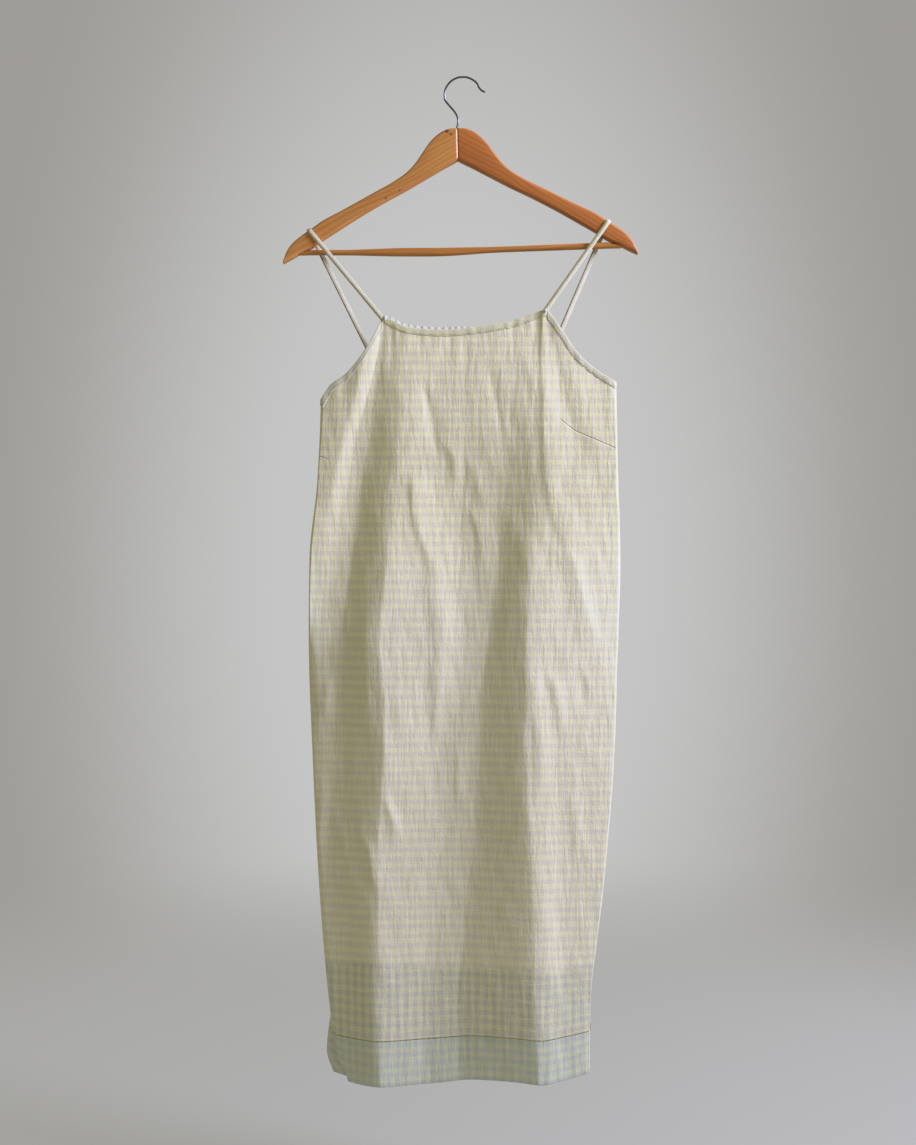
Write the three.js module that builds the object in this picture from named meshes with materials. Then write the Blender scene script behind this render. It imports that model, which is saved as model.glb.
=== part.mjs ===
import * as THREE from 'three';

// A sleeveless slip dress with thin shoulder straps, hanging on a wooden hanger with a wire hook.
// Millimetres, +Z up, the front of the dress faces -Y. The origin is the inside top of the
// hook's bend, the point that rests on a nail or a rail.

const clothWall = 1;
const hemWall = 2; // the hem is turned up inside, so its wall has two layers
const seamGap = 0.3; // clearance between pieces that are sewn or set together
const hemHeight = -1255;
const turnUpHeight = 148; // how far the turned-up allowance reaches above the hem
const turnUpStep = 3; // height over which the wall goes from one layer to two

const bindingWidth = 8;
const bindingWall = 1;
const underarmStretch = 1.2; // how much taller the binding stands where it rounds the underarm

const strapWidth = 6.4;
const strapThickness = 2.2;
const strapTuck = 9; // length of a strap's end that lies sewn inside the corner of cloth
const strapSeat = 0.5; // from that end to the binding in front of it

const woodThickness = 12;
const woodRounding = 4;
const hangerTilt = -1.5; // degrees, the left end hangs lower
const crownX = -6.3;
const crownZ = -63.7;
const barThickness = 8;

const wireRadius = 1.2;
const bendRadius = 23.3; // of the hook, to the middle of the wire

// Heights of the sections that the two tables below give their places at, from neck to hem.
const sectionHeights = [-300, -405, -505, -605, -705, -860, -1035, -1160, -1225, hemHeight];

// The front: a row for each seam, valley and crest that runs down it, from left to right.
// across is its x at each height, out is how far it stands forward of the hanger's middle.
const frontLines = [
  { name: 'left seam',
    across: [-176, -176, -182, -190, -191, -185, -177, -167, -159, -143],
    out: [-4, -4, -5, -5, -6, -7, -8, -8, -8, -8] },
  { name: 'left ridge',
    across: [-112, -140, -166, -179, -179, -173, -166, -158, -153, -142],
    out: [11, 14, 13, 10, 7, 5, 5, 7, 8, 9] },
  { name: 'left valley',
    across: [-98, -111, -126, -141, -151, -155, -151, -149, -145, -136],
    out: [11, 10, 9, 9, 10, 11, 12, 15, 20, 25] },
  { name: 'left crest',
    across: [-80, -84, -90, -102, -107, -109, -106, -104, -105, -107],
    out: [13, 18, 23, 27, 31, 35, 38, 39, 40, 40] },
  { name: 'right valley',
    across: [86, 78, 48, 35, 29, 16, 15, 18, 21, 23],
    out: [11, 10, 10, 11, 12, 13, 15, 16, 16, 16] },
  { name: 'right crest',
    across: [106, 102, 86, 79, 74, 73, 78, 89, 92, 93],
    out: [12, 19, 24, 28, 31, 34, 36, 37, 37, 37] },
  { name: 'right shoulder',
    across: [150, 152, 155, 158, 158, 152, 140, 132, 130, 129],
    out: [10, 11, 14, 17, 20, 24, 28, 31, 32, 32] },
  { name: 'right seam',
    across: [194, 194, 196, 199, 195, 188, 172, 161, 161, 160],
    out: [-4, -4, -5, -5, -6, -7, -8, -9, -10, -10] },
];

// The back, from left to right. out is how far each line stands behind the hanger's middle.
// The side turns are where the cloth rounds the sides: low on the left it swings out in a flap.
const backLines = [
  { name: 'left turn',
    across: [-172, -172, -178, -185, -187, -181, -174, -165, -171, -162],
    out: [8, 8, 9, 9, 10, 11, 12, 12, 12, 12] },
  { name: 'left fold',
    across: [-99, -100, -104, -108, -110, -112, -112, -112, -112, -112],
    out: [11, 12, 14, 15, 17, 19, 21, 23, 24, 24] },
  { name: 'middle',
    across: [2, 0, -4, -8, -10, -12, -12, -12, -12, -12],
    out: [10, 10, 11, 12, 12, 13, 14, 15, 15, 15] },
  { name: 'right fold',
    across: [106, 106, 105, 104, 102, 100, 98, 96, 95, 95],
    out: [11, 12, 14, 15, 16, 18, 20, 21, 22, 22] },
  { name: 'right turn',
    across: [190, 190, 192, 194, 191, 188, 174, 158, 157, 156],
    out: [8, 8, 9, 9, 10, 12, 13, 13, 14, 14] },
];

// The cut edge at the top of each panel: armhole, neck and armhole, with a corner at each strap.
const frontTop = [
  { name: 'left armhole', x: [-176, -163, -147, -120, -98], z: [-405, -387, -376, -343, -302] },
  { name: 'neck', x: [-98, -66, -28, 48, 106], z: [-302, -316, -319, -311, -292.5] },
  { name: 'right armhole', x: [106, 124, 146, 173, 194], z: [-292.5, -318, -350, -373, -386] },
];
const backTop = [
  { name: 'left armhole', x: [-176, -142, -116, -99], z: [-405, -400, -391, -376] },
  { name: 'neck', x: [-99, -62, 2, 62, 106], z: [-376, -392, -397, -386, -362] },
  { name: 'right armhole', x: [106, 128, 160, 194], z: [-362, -381, -390, -386] },
];

// One arm of the hanger, cut across at these distances from its middle. Heights are from the crown.
const armSections = [
  { along: 0, top: 0, bottom: -41 },
  { along: 9, top: -0.5, bottom: -46 },
  { along: 17, top: -3, bottom: -50 },
  { along: 27, top: -9.5, bottom: -55.5 },
  { along: 36, top: -18.5, bottom: -60.5 },
  { along: 45, top: -31, bottom: -65.5 },
  { along: 55, top: -44.5, bottom: -71 },
  { along: 66, top: -55, bottom: -77 },
  { along: 82, top: -65.5, bottom: -85 },
  { along: 100, top: -75, bottom: -94.5 },
  { along: 125, top: -88, bottom: -108.5 },
  { along: 150, top: -101, bottom: -123.5 },
  { along: 172, top: -112, bottom: -137 },
  { along: 186, top: -121.5, bottom: -146.5 },
  { along: 198, top: -129.5, bottom: -151.5 },
  { along: 210, top: -139, bottom: -158.5 },
  { along: 218, top: -149.5, bottom: -162.5 },
  { along: 222.5, top: -161, bottom: -164.5 },
];

// The bar between the arms, in the same measures. Its ends taper and lie close under the arms.
const barSections = [
  { along: -199, bottom: -154 },
  { along: -192, bottom: -154.8 },
  { along: -184, top: -148.2, bottom: -154.6 },
  { along: -138, top: -149, bottom: -156 },
  { along: -80, top: -148.4, bottom: -158.8 },
  { along: -25, top: -149.4, bottom: -160 },
  { along: 50, top: -150, bottom: -157.2 },
  { along: 125, top: -149, bottom: -156.5 },
  { along: 184, top: -148.2, bottom: -156 },
  { along: 192, bottom: -155.8 },
  { along: 198, bottom: -155.6 },
  { along: 203, bottom: -155.6 },
];

// Where each strap crosses its arm, measured along the hanger from its middle, and where the
// middle of each strand goes in behind the cut edge of the cloth.
const straps = {
  left: { crossing: -189, front: { x: -100.5, z: -303 }, back: { x: -101.5, z: -374 } },
  right: { crossing: 187, front: { x: 107, z: -290 }, back: { x: 106.5, z: -360 } },
};

// ---------------------------------------------------------------------------------------------
// Curves through tables

// A cubic through (places[i], values[i]) that runs level at each crest and valley and never
// overshoots. With levelEnds it also leaves and arrives level.
function smoothCurve(places, values, levelEnds = false) {
  const last = places.length - 1;
  const steps = places.slice(1).map((place, i) => place - places[i]);
  const slopes = steps.map((step, i) => (values[i + 1] - values[i]) / step);
  const tangents = values.map((_, i) => {
    if (i === 0 || i === last) {
      return levelEnds ? 0 : slopes[i === 0 ? 0 : last - 1];
    }
    const [before, after] = [slopes[i - 1], slopes[i]];
    if (before * after <= 0) {
      return 0;
    }
    const weightBefore = 2 * steps[i] + steps[i - 1];
    const weightAfter = steps[i] + 2 * steps[i - 1];
    return (weightBefore + weightAfter) / (weightBefore / before + weightAfter / after);
  });
  return (place) => {
    const inside = THREE.MathUtils.clamp(place, places[0], places[last]);
    let i = 0;
    while (i < last - 1 && inside > places[i + 1]) {
      i += 1;
    }
    const s = (inside - places[i]) / steps[i];
    const rise = s * s * (3 - 2 * s);
    const leave = s * (1 - s) * (1 - s) * steps[i] * tangents[i];
    const arrive = -s * s * (1 - s) * steps[i] * tangents[i + 1];
    return values[i] * (1 - rise) + values[i + 1] * rise + leave + arrive;
  };
}

// The same curve down the dress: sectionHeights fall, so both lists are turned round.
function downTheDress(values) {
  return smoothCurve([...sectionHeights].reverse(), [...values].reverse());
}

// The height of a panel's cut edge at x.
function edgeHeight(outline) {
  const curves = outline.map(({ x, z }) => smoothCurve(x, z));
  return (x) => {
    const part = outline.findIndex((piece) => x <= piece.x.at(-1));
    return curves[part < 0 ? outline.length - 1 : part](x);
  };
}

// ---------------------------------------------------------------------------------------------
// Closed meshes

// A mesh from corner points and triangles, turned inside out if its faces point inwards.
function closedMesh(points, triangles, name, colour, roughness, metalness = 0) {
  let volume = 0;
  for (const [a, b, c] of triangles) {
    volume += points[a].dot(new THREE.Vector3().crossVectors(points[b], points[c]));
  }
  const facing = volume < 0 ? triangles.map(([a, b, c]) => [a, c, b]) : triangles;
  const geometry = new THREE.BufferGeometry();
  const coordinates = points.flatMap((point) => point.toArray());
  geometry.setAttribute('position', new THREE.Float32BufferAttribute(coordinates, 3));
  geometry.setIndex(facing.flat());
  geometry.computeVertexNormals();
  const material = new THREE.MeshStandardMaterial({ color: colour, roughness, metalness });
  const mesh = new THREE.Mesh(geometry, material);
  mesh.name = name;
  return mesh;
}

// The skin between a row of closed rings, with a cap at each end. capFaces lists the triangles
// of one cap; a ring with no inward corner is capped by a fan.
function skinRings(rings, capFaces) {
  const count = rings[0].length;
  const cap = capFaces ?? Array.from({ length: count - 2 }, (_, i) => [0, i + 1, i + 2]);
  const triangles = [];
  for (let ring = 0; ring < rings.length - 1; ring += 1) {
    for (let i = 0; i < count; i += 1) {
      const here = ring * count + i;
      const next = ring * count + ((i + 1) % count);
      triangles.push([here, next, next + count], [here, next + count, here + count]);
    }
  }
  const end = (rings.length - 1) * count;
  triangles.push(...cap.map(([a, b, c]) => [a, c, b]));
  triangles.push(...cap.map(([a, b, c]) => [end + a, end + b, end + c]));
  return { points: rings.flat(), triangles };
}

// A wall of cloth between two grids of points, closed along all four edges.
function skinWall(outer, inner) {
  const columns = outer.length;
  const rows = outer[0].length;
  const inside = columns * rows;
  const at = (column, row) => column * rows + row;
  const triangles = [];
  const quad = (a, b, c, d) => triangles.push([a, b, c], [a, c, d]);
  for (let i = 0; i < columns - 1; i += 1) {
    for (let j = 0; j < rows - 1; j += 1) {
      quad(at(i, j), at(i, j + 1), at(i + 1, j + 1), at(i + 1, j));
      triangles.push([inside + at(i, j), inside + at(i + 1, j + 1), inside + at(i, j + 1)]);
      triangles.push([inside + at(i, j), inside + at(i + 1, j), inside + at(i + 1, j + 1)]);
    }
    quad(at(i, 0), at(i + 1, 0), inside + at(i + 1, 0), inside + at(i, 0));
    quad(at(i, rows - 1), inside + at(i, rows - 1), inside + at(i + 1, rows - 1), at(i + 1, rows - 1));
  }
  for (let j = 0; j < rows - 1; j += 1) {
    const far = columns - 1;
    quad(at(0, j), inside + at(0, j), inside + at(0, j + 1), at(0, j + 1));
    quad(at(far, j), at(far, j + 1), inside + at(far, j + 1), inside + at(far, j));
  }
  return { points: [...outer.flat(), ...inner.flat()], triangles };
}

// ---------------------------------------------------------------------------------------------
// The two panels

// A panel hangs from its cut edge to the hem. lines are its seams, crests and valleys in order,
// columnsBetween the number of columns from each line to the next, side -1 for the front and +1
// for the back. A point is given by how far round it lies, counted in lines, and its height.
function makePanel({ lines, columnsBetween, rowsDown, top, side }) {
  const last = lines.length - 1;
  const across = lines.map((line) => downTheDress(line.across));
  const depth = lines.map((line, i) => {
    const standing = downTheDress(line.out);
    const clearance = i === 0 || i === last ? seamGap / 2 : 0;
    return (z) => side * (standing(z) + clearance);
  });
  const order = lines.map((_, i) => i);
  const surfacePoint = (round, z) => {
    const x = smoothCurve(order, across.map((line) => line(z)), true)(round);
    const y = smoothCurve(order, depth.map((line) => line(z)))(round);
    return new THREE.Vector3(x, y, z);
  };
  // Outward normal: across the panel by down the panel, from points a little to each side.
  const normalAt = (round, z) => {
    const reach = 0.001;
    const low = Math.max(0, round - reach);
    const high = Math.min(last, round + reach);
    const sideways = surfacePoint(high, z).sub(surfacePoint(low, z));
    if (round === 0 || round === last) {
      sideways.x = 0;
    }
    const upwards = surfacePoint(round, z + 1).sub(surfacePoint(round, z - 1));
    return sideways.cross(upwards).multiplyScalar(-side).normalize();
  };
  // A few passes settle the height at which each column meets the cut edge.
  const edge = edgeHeight(top);
  const topHeight = (round) => {
    let z = edge(surfacePoint(round, sectionHeights[1]).x);
    for (let pass = 0; pass < 40; pass += 1) {
      z = edge(surfacePoint(round, z).x);
    }
    return z;
  };

  const rounds = [0];
  columnsBetween.forEach((count, line) => {
    for (let step = 1; step <= count; step += 1) {
      rounds.push(line + step / count);
    }
  });
  const tops = rounds.map((round) => surfacePoint(round, topHeight(round)));
  // How much taller than its width the binding stands on a slanting edge.
  const stretch = tops.map((point, i) => {
    if (i === 0 || i === tops.length - 1) {
      return underarmStretch;
    }
    const slants = [tops[i - 1], tops[i + 1]].map((next) => {
      const run = Math.hypot(next.x - point.x, next.y - point.y);
      return Math.hypot(1, (next.z - point.z) / run);
    });
    return (slants[0] + slants[1]) / 2;
  });
  const turnUp = hemHeight + turnUpHeight;
  const columns = rounds.map((round, i) => {
    const underBinding = tops[i].z - bindingWidth * stretch[i];
    const heights = [tops[i].z, underBinding];
    for (let row = 1; row <= rowsDown.body; row += 1) {
      heights.push(THREE.MathUtils.lerp(underBinding, turnUp, row / rowsDown.body));
    }
    for (let row = 0; row <= rowsDown.hem; row += 1) {
      heights.push(THREE.MathUtils.lerp(turnUp - turnUpStep, hemHeight, row / rowsDown.hem));
    }
    return heights.map((z) => ({
      point: surfacePoint(round, z),
      normal: normalAt(round, z),
      wall: z < turnUp - turnUpStep / 2 ? hemWall : clothWall,
    }));
  });
  return { columns, stretch, corners: cornerColumns(columns, top) };
}

// The columns that meet the cut edge at the two strap corners.
function cornerColumns(columns, top) {
  return [top[1].x[0], top[1].x.at(-1)].map((x) => {
    const away = columns.map((column) => Math.abs(column[0].point.x - x));
    return away.indexOf(Math.min(...away));
  });
}

function offset(spot, distance) {
  return spot.point.clone().addScaledVector(spot.normal, distance);
}

function panelMesh(panel, name, colour) {
  const outer = panel.columns.map((column) => column.map((spot) => spot.point));
  const inner = panel.columns.map((column) => column.map((spot) => offset(spot, -spot.wall)));
  const { points, triangles } = skinWall(outer, inner);
  return closedMesh(points, triangles, name, colour, 0.9);
}

// ---------------------------------------------------------------------------------------------
// Bindings: a folded strip over the cut edge, made from the panel's own points, moved out

const bindingCap = [[0, 1, 6], [0, 6, 7], [1, 2, 5], [1, 5, 6], [2, 3, 4], [2, 4, 5]];

// One section of the strip: down the outside, over the edge and down the inside, and back.
function bindingRing(panel, index) {
  const [edge, under] = panel.columns[index];
  const rise = edge.point.clone().sub(under.point).normalize();
  const lift = panel.stretch[index];
  const near = seamGap;
  const far = seamGap + bindingWall;
  const above = (distance, height) => offset(edge, distance).addScaledVector(rise, height * lift);
  return [
    offset(under, far),
    above(far, far),
    above(-clothWall - far, far),
    offset(under, -clothWall - far),
    offset(under, -clothWall - near),
    above(-clothWall - near, near),
    above(near, near),
    offset(under, near),
  ];
}

// Rings from one column to another. Where the strip ends at a strap corner it stops short of
// the strip that starts there.
function bindingRings(panel, from, to, trimmed) {
  const step = Math.sign(to - from);
  const rings = [];
  for (let i = from; i !== to + step; i += step) {
    rings.push(bindingRing(panel, i));
  }
  for (const end of trimmed) {
    const [ring, next] = end === 'start' ? rings.slice(0, 2) : rings.slice(-2).reverse();
    ring.forEach((point, i) => {
      point.addScaledVector(next[i].clone().sub(point).normalize(), seamGap);
    });
  }
  return rings;
}

function bindingMesh(rings, name, colour) {
  const { points, triangles } = skinRings(rings, bindingCap);
  return closedMesh(points, triangles, name, colour, 0.9);
}

// The armhole strip runs down the front edge, round the underarm and up the back edge.
function armholeRings(front, back, sideIndex) {
  const pick = (panel) => (sideIndex === 0 ? 0 : panel.columns.length - 1);
  return [
    ...bindingRings(front, front.corners[sideIndex], pick(front), ['start']),
    ...bindingRings(back, pick(back), back.corners[sideIndex], ['end']),
  ];
}

// ---------------------------------------------------------------------------------------------
// The hanger

// Places a point of the level hanger, measured from its crown, in the tilted one.
function hangerPoint(along, y, height) {
  const tilt = THREE.MathUtils.degToRad(hangerTilt);
  const x = crownX + along * Math.cos(tilt) + height * Math.sin(tilt);
  const z = crownZ - along * Math.sin(tilt) + height * Math.cos(tilt);
  return new THREE.Vector3(x, y, z);
}

// A rectangle with rounded corners, cut across the hanger.
function woodRing({ along, top, bottom }, thickness, rounding) {
  const radius = Math.min(rounding, (top - bottom) * 0.45, thickness * 0.45);
  const middle = { y: thickness / 2 - radius, z: (top - bottom) / 2 - radius };
  const ring = [];
  for (let corner = 0; corner < 4; corner += 1) {
    const signY = corner === 0 || corner === 3 ? 1 : -1;
    const signZ = corner < 2 ? 1 : -1;
    for (let step = 0; step < 3; step += 1) {
      const angle = (corner + step / 2) * (Math.PI / 2);
      const y = signY * middle.y + radius * Math.cos(angle);
      const z = (top + bottom) / 2 + signZ * middle.z + radius * Math.sin(angle);
      ring.push(hangerPoint(along, y, z));
    }
  }
  return ring;
}

function armMesh(side, name, colour) {
  const rings = armSections.map((section, i) => {
    const along = side * (i === 0 ? seamGap / 2 : section.along);
    return woodRing({ ...section, along }, woodThickness, woodRounding);
  });
  const { points, triangles } = skinRings(rings);
  return closedMesh(points, triangles, name, colour, 0.45);
}

// The arm's top and bottom edge at a distance from the hanger's middle, straight between sections.
function armEdge(along, edge) {
  const distance = Math.abs(along);
  const next = armSections.findIndex((section) => section.along >= distance);
  const [a, b] = [armSections[next - 1], armSections[next]];
  return THREE.MathUtils.mapLinear(distance, a.along, b.along, a[edge], b[edge]);
}

function barMesh(name, colour) {
  const rings = barSections.map((section) => {
    const top = section.top ?? armEdge(section.along, 'bottom') - seamGap - 0.1;
    return woodRing({ ...section, top }, barThickness, woodRounding);
  });
  const { points, triangles } = skinRings(rings);
  return closedMesh(points, triangles, name, colour, 0.5);
}

// The hook's wire: up from the crown in a slack S, round the bend and out in a small flick.
function hookMesh(name, colour) {
  const centre = new THREE.Vector3(1.2, 0, wireRadius - bendRadius);
  const bend = [];
  for (let degrees = 190; degrees >= 40; degrees -= 15) {
    const angle = THREE.MathUtils.degToRad(degrees);
    const spoke = new THREE.Vector3(Math.cos(angle), 0, Math.sin(angle));
    bend.push(centre.clone().addScaledVector(spoke, bendRadius));
  }
  const shank = [[-6.6, -63.4], [-5.4, -59], [-4.7, -54], [-6.2, -48], [-10.2, -41.5], [-15.8, -35]];
  const flick = [[21.8, -12.6], [25, -16], [29.5, -18]];
  const upright = ([x, z]) => new THREE.Vector3(x, 0, z);
  const path = new THREE.CatmullRomCurve3([...shank.map(upright), ...bend, ...flick.map(upright)]);
  const steps = 44;
  const sides = 8;
  const rings = [];
  for (let i = 0; i <= steps; i += 1) {
    const along = path.getTangentAt(i / steps);
    const outward = new THREE.Vector3(along.z, 0, -along.x);
    const middle = path.getPointAt(i / steps);
    rings.push(Array.from({ length: sides }, (_, k) => {
      const angle = (2 * Math.PI * k) / sides;
      const point = middle.clone().addScaledVector(outward, wireRadius * Math.cos(angle));
      point.y += wireRadius * Math.sin(angle);
      return point;
    }));
  }
  const { points, triangles } = skinRings(rings);
  return closedMesh(points, triangles, name, colour, 0.35, 0.9);
}

// ---------------------------------------------------------------------------------------------
// The straps

// A flattened tube over one arm: up the front, round the wood's rounded top and down the back.
// Each strand ends inside its corner of cloth, sewn there.
function strapMesh({ crossing, front, back }, frontDepth, backDepth, name, colour) {
  const reach = 4; // how far to each side the arm's slope is measured
  const [before, after] = [-reach, reach].map((step) => (
    hangerPoint(crossing + step, 0, armEdge(crossing + step, 'top'))
  ));
  const alongArm = after.sub(before).normalize();
  const upArm = new THREE.Vector3(-alongArm.z, 0, alongArm.x);
  const onTop = hangerPoint(crossing, 0, armEdge(crossing, 'top'));
  const radius = woodRounding + seamGap + strapThickness / 2;
  const shoulder = woodThickness / 2 - woodRounding;
  const stations = [];
  // Round the wood: over the front edge, then over the back edge.
  for (const turn of [-1, 1]) {
    for (let step = 0; step <= 3; step += 1) {
      const angle = (turn < 0 ? 3 - step : step) * (Math.PI / 6);
      const middle = onTop.clone().addScaledVector(upArm, radius * Math.cos(angle) - woodRounding);
      middle.y = turn * (shoulder + radius * Math.sin(angle));
      const thick = upArm.clone().multiplyScalar(Math.cos(angle));
      thick.y = turn * Math.sin(angle);
      stations.push({ middle, wide: alongArm, thick });
    }
  }
  // A strand from the arm down past the cut edge, to its end inside the cloth.
  const strand = (start, { x, z }, depth, turn) => {
    const entry = new THREE.Vector3(x, depth, z);
    const downwards = entry.clone().sub(start).normalize();
    const end = entry.clone().addScaledVector(downwards, strapTuck);
    const wide = new THREE.Vector3(-downwards.z, 0, downwards.x).normalize();
    const thick = new THREE.Vector3(0, turn, 0);
    return [0.12, 0.35, 0.6, 0.85, 1].map((share) => (
      { middle: start.clone().lerp(end, share), wide, thick }
    ));
  };
  const all = [
    ...strand(stations[0].middle, front, frontDepth, -1).reverse(),
    ...stations,
    ...strand(stations.at(-1).middle, back, backDepth, 1),
  ];
  const toCorner = 1 / Math.cos(Math.PI / 8); // from the middle of an octagon's side to its corner
  const rings = all.map(({ middle, wide, thick }) => (
    Array.from({ length: 8 }, (_, k) => {
      const angle = (Math.PI * (k + 0.5)) / 4;
      return middle.clone()
        .addScaledVector(wide, (strapWidth / 2) * Math.cos(angle) * toCorner)
        .addScaledVector(thick, (strapThickness / 2) * Math.sin(angle) * toCorner);
    })
  ));
  const { points, triangles } = skinRings(rings);
  return closedMesh(points, triangles, name, colour, 0.85);
}

// How far from the hanger's middle a strap's sewn end lies, inside the binding at a corner.
function strapDepth(panel, sideIndex) {
  const [edge] = panel.columns[panel.corners[sideIndex]];
  const layers = clothWall + seamGap + bindingWall + strapSeat + strapThickness / 2;
  return offset(edge, -layers).y;
}

// ---------------------------------------------------------------------------------------------
// Assembly

const colours = {
  cloth: 0xd6d2b0,
  binding: 0xcfc79a,
  lightWood: 0xb9783f,
  redWood: 0xaf5f2d,
  barWood: 0xaf733c,
  steel: 0x4a4a4c,
};

const front = makePanel({
  lines: frontLines,
  columnsBetween: [4, 4, 3, 7, 5, 5, 4],
  rowsDown: { body: 20, hem: 4 },
  top: frontTop,
  side: -1,
});
const seams = [frontLines[0], frontLines.at(-1)].map((seam) => (
  { ...seam, out: seam.out.map((value) => -value) }
));
const back = makePanel({
  lines: [seams[0], ...backLines, seams[1]],
  columnsBetween: [2, 5, 5, 5, 5, 2],
  rowsDown: { body: 16, hem: 4 },
  top: backTop,
  side: 1,
});

const dress = new THREE.Group();
dress.add(panelMesh(front, 'front_panel', colours.cloth));
dress.add(panelMesh(back, 'back_panel', colours.cloth));
for (const [panel, word] of [[front, 'front'], [back, 'back']]) {
  const rings = bindingRings(panel, ...panel.corners, ['start', 'end']);
  dress.add(bindingMesh(rings, `neck_binding_${word}`, colours.binding));
}
['left', 'right'].forEach((word, sideIndex) => {
  dress.add(bindingMesh(armholeRings(front, back, sideIndex), `armhole_binding_${word}`, colours.binding));
  const depths = [front, back].map((panel) => strapDepth(panel, sideIndex));
  dress.add(strapMesh(straps[word], ...depths, `strap_${word}`, colours.binding));
});

const hanger = new THREE.Group();
hanger.add(armMesh(-1, 'hanger_arm_left', colours.lightWood));
hanger.add(armMesh(1, 'hanger_arm_right', colours.redWood));
hanger.add(barMesh('hanger_bar', colours.barWood));
hanger.add(hookMesh('hanger_hook', colours.steel));

const garment = new THREE.Group();
garment.add(dress, hanger);

export default garment;
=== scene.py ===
import math

import bpy
import numpy as np
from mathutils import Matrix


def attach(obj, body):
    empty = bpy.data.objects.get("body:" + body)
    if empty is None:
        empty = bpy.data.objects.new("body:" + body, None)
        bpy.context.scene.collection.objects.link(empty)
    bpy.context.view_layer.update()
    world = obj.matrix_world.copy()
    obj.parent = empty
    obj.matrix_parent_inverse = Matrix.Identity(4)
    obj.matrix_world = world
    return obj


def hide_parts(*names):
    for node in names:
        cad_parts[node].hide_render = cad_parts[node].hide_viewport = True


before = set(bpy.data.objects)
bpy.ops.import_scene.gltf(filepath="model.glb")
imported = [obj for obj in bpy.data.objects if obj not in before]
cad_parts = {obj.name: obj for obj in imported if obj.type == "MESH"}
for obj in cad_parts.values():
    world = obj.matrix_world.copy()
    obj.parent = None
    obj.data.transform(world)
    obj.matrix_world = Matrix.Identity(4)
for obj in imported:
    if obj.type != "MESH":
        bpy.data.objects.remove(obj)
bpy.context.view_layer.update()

mm = 0.001


# Curves

# The slope at a point between two steps: level at a crest or valley, else the weighted harmonic
# mean of the slopes before and after it.
def meanSlope(before, after, stepBefore=1.0, stepAfter=1.0):
    sameWay = before * after > 0
    weightBefore = 2 * stepAfter + stepBefore
    weightAfter = stepAfter + 2 * stepBefore
    parts = weightBefore / np.where(sameWay, before, 1) + weightAfter / np.where(sameWay, after, 1)
    return np.where(sameWay, (weightBefore + weightAfter) / np.where(sameWay, parts, 1), 0)


# A cubic from start to end as s goes from 0 to 1, leaving and arriving with the given slopes.
def cubic(s, start, end, leave, arrive):
    rise = s * s * (3 - 2 * s)
    return start * (1 - rise) + end * rise + s * (1 - s) ** 2 * leave - s * s * (1 - s) * arrive


# The cubic through (places, values), read at any array of places and held at its ends.
def curveThrough(places, values, at):
    places, values = np.asarray(places, float), np.asarray(values, float)
    steps = np.diff(places)
    slopes = np.diff(values) / steps
    tangents = np.zeros(len(values))
    tangents[0], tangents[-1] = slopes[0], slopes[-1]
    tangents[1:-1] = meanSlope(slopes[:-1], slopes[1:], steps[:-1], steps[1:])
    inside = np.clip(at, places[0], places[-1])
    k = np.clip(np.searchsorted(places, inside, side="right") - 1, 0, len(steps) - 1)
    s = (inside - places[k]) / steps[k]
    return cubic(s, values[k], values[k + 1], tangents[k] * steps[k], tangents[k + 1] * steps[k])


def smooth(value, low, high):  # 0 below low, 1 above high, an S-curve between
    s = np.clip((value - low) / (high - low), 0, 1)
    return s * s * (3 - 2 * s)


def fullTurn(count):
    return np.linspace(0, 2 * math.pi, count, endpoint=False)


def unit(vectors):
    return vectors / np.maximum(np.linalg.norm(vectors, axis=-1, keepdims=True), 1e-12)


# Distance run along a line of points.
def runAlong(points):
    steps = np.linalg.norm(np.diff(points, axis=0), axis=-1)
    return np.concatenate([[0.0], np.cumsum(steps)])


# Meshes

# A mesh object from points, faces and, for each point, a place on the flat cloth in metres.
def meshObject(name, points, faces, places=None, rounded=True):
    mesh = bpy.data.meshes.new(name)
    mesh.from_pydata(np.asarray(points).reshape(-1, 3).tolist(), [], [list(f) for f in faces])
    if places is not None:
        corners = np.zeros(len(mesh.loops), np.int32)
        mesh.loops.foreach_get("vertex_index", corners)
        layer = mesh.uv_layers.new(name="onCloth")
        layer.data.foreach_set("uv", np.asarray(places, float).reshape(-1, 2)[corners].ravel())
    mesh.polygons.foreach_set("use_smooth", np.full(len(mesh.polygons), rounded))
    mesh.update()
    thing = bpy.data.objects.new(name, mesh)
    bpy.context.scene.collection.objects.link(thing)
    return thing


# The quads of a grid of columns by rows; closed joins the last row of each column to the first,
# turned flips the faces.
def gridFaces(columns, rows, closed=False, turned=False):
    i, j = np.meshgrid(np.arange(columns - 1), np.arange(rows if closed else rows - 1), indexing="ij")
    i, j = i.ravel(), j.ravel()
    down = (j + 1) % rows
    quads = np.stack([i * rows + j, i * rows + down, (i + 1) * rows + down, (i + 1) * rows + j], -1)
    return quads[:, ::-1] if turned else quads


# A closed tube: one ring of points for each station, with a flat cap at each end.
def tubeObject(name, rings, places=None):
    stations, sides = rings.shape[:2]
    centre = rings.mean(1)
    outward = np.cross(rings[1, 1] - rings[1, 0], rings[2, 0] - rings[1, 0])
    turned = (outward * (rings[1, 0] - centre[1])).sum() > 0
    quads = gridFaces(stations, sides, closed=True, turned=turned)
    first, last = list(range(sides)), [(stations - 1) * sides + k for k in range(sides)]
    caps = [first if turned else first[::-1], last[::-1] if turned else last]
    return meshObject(name, rings, [*quads.tolist(), *caps], places)


# Every piece rides on the one body.
def finishPiece(thing, material, slot, *nodes):
    thing.data.materials.append(material)
    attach(thing, "root")
    if nodes:
        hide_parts(*nodes)
    return thing


# Node groups and materials

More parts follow.
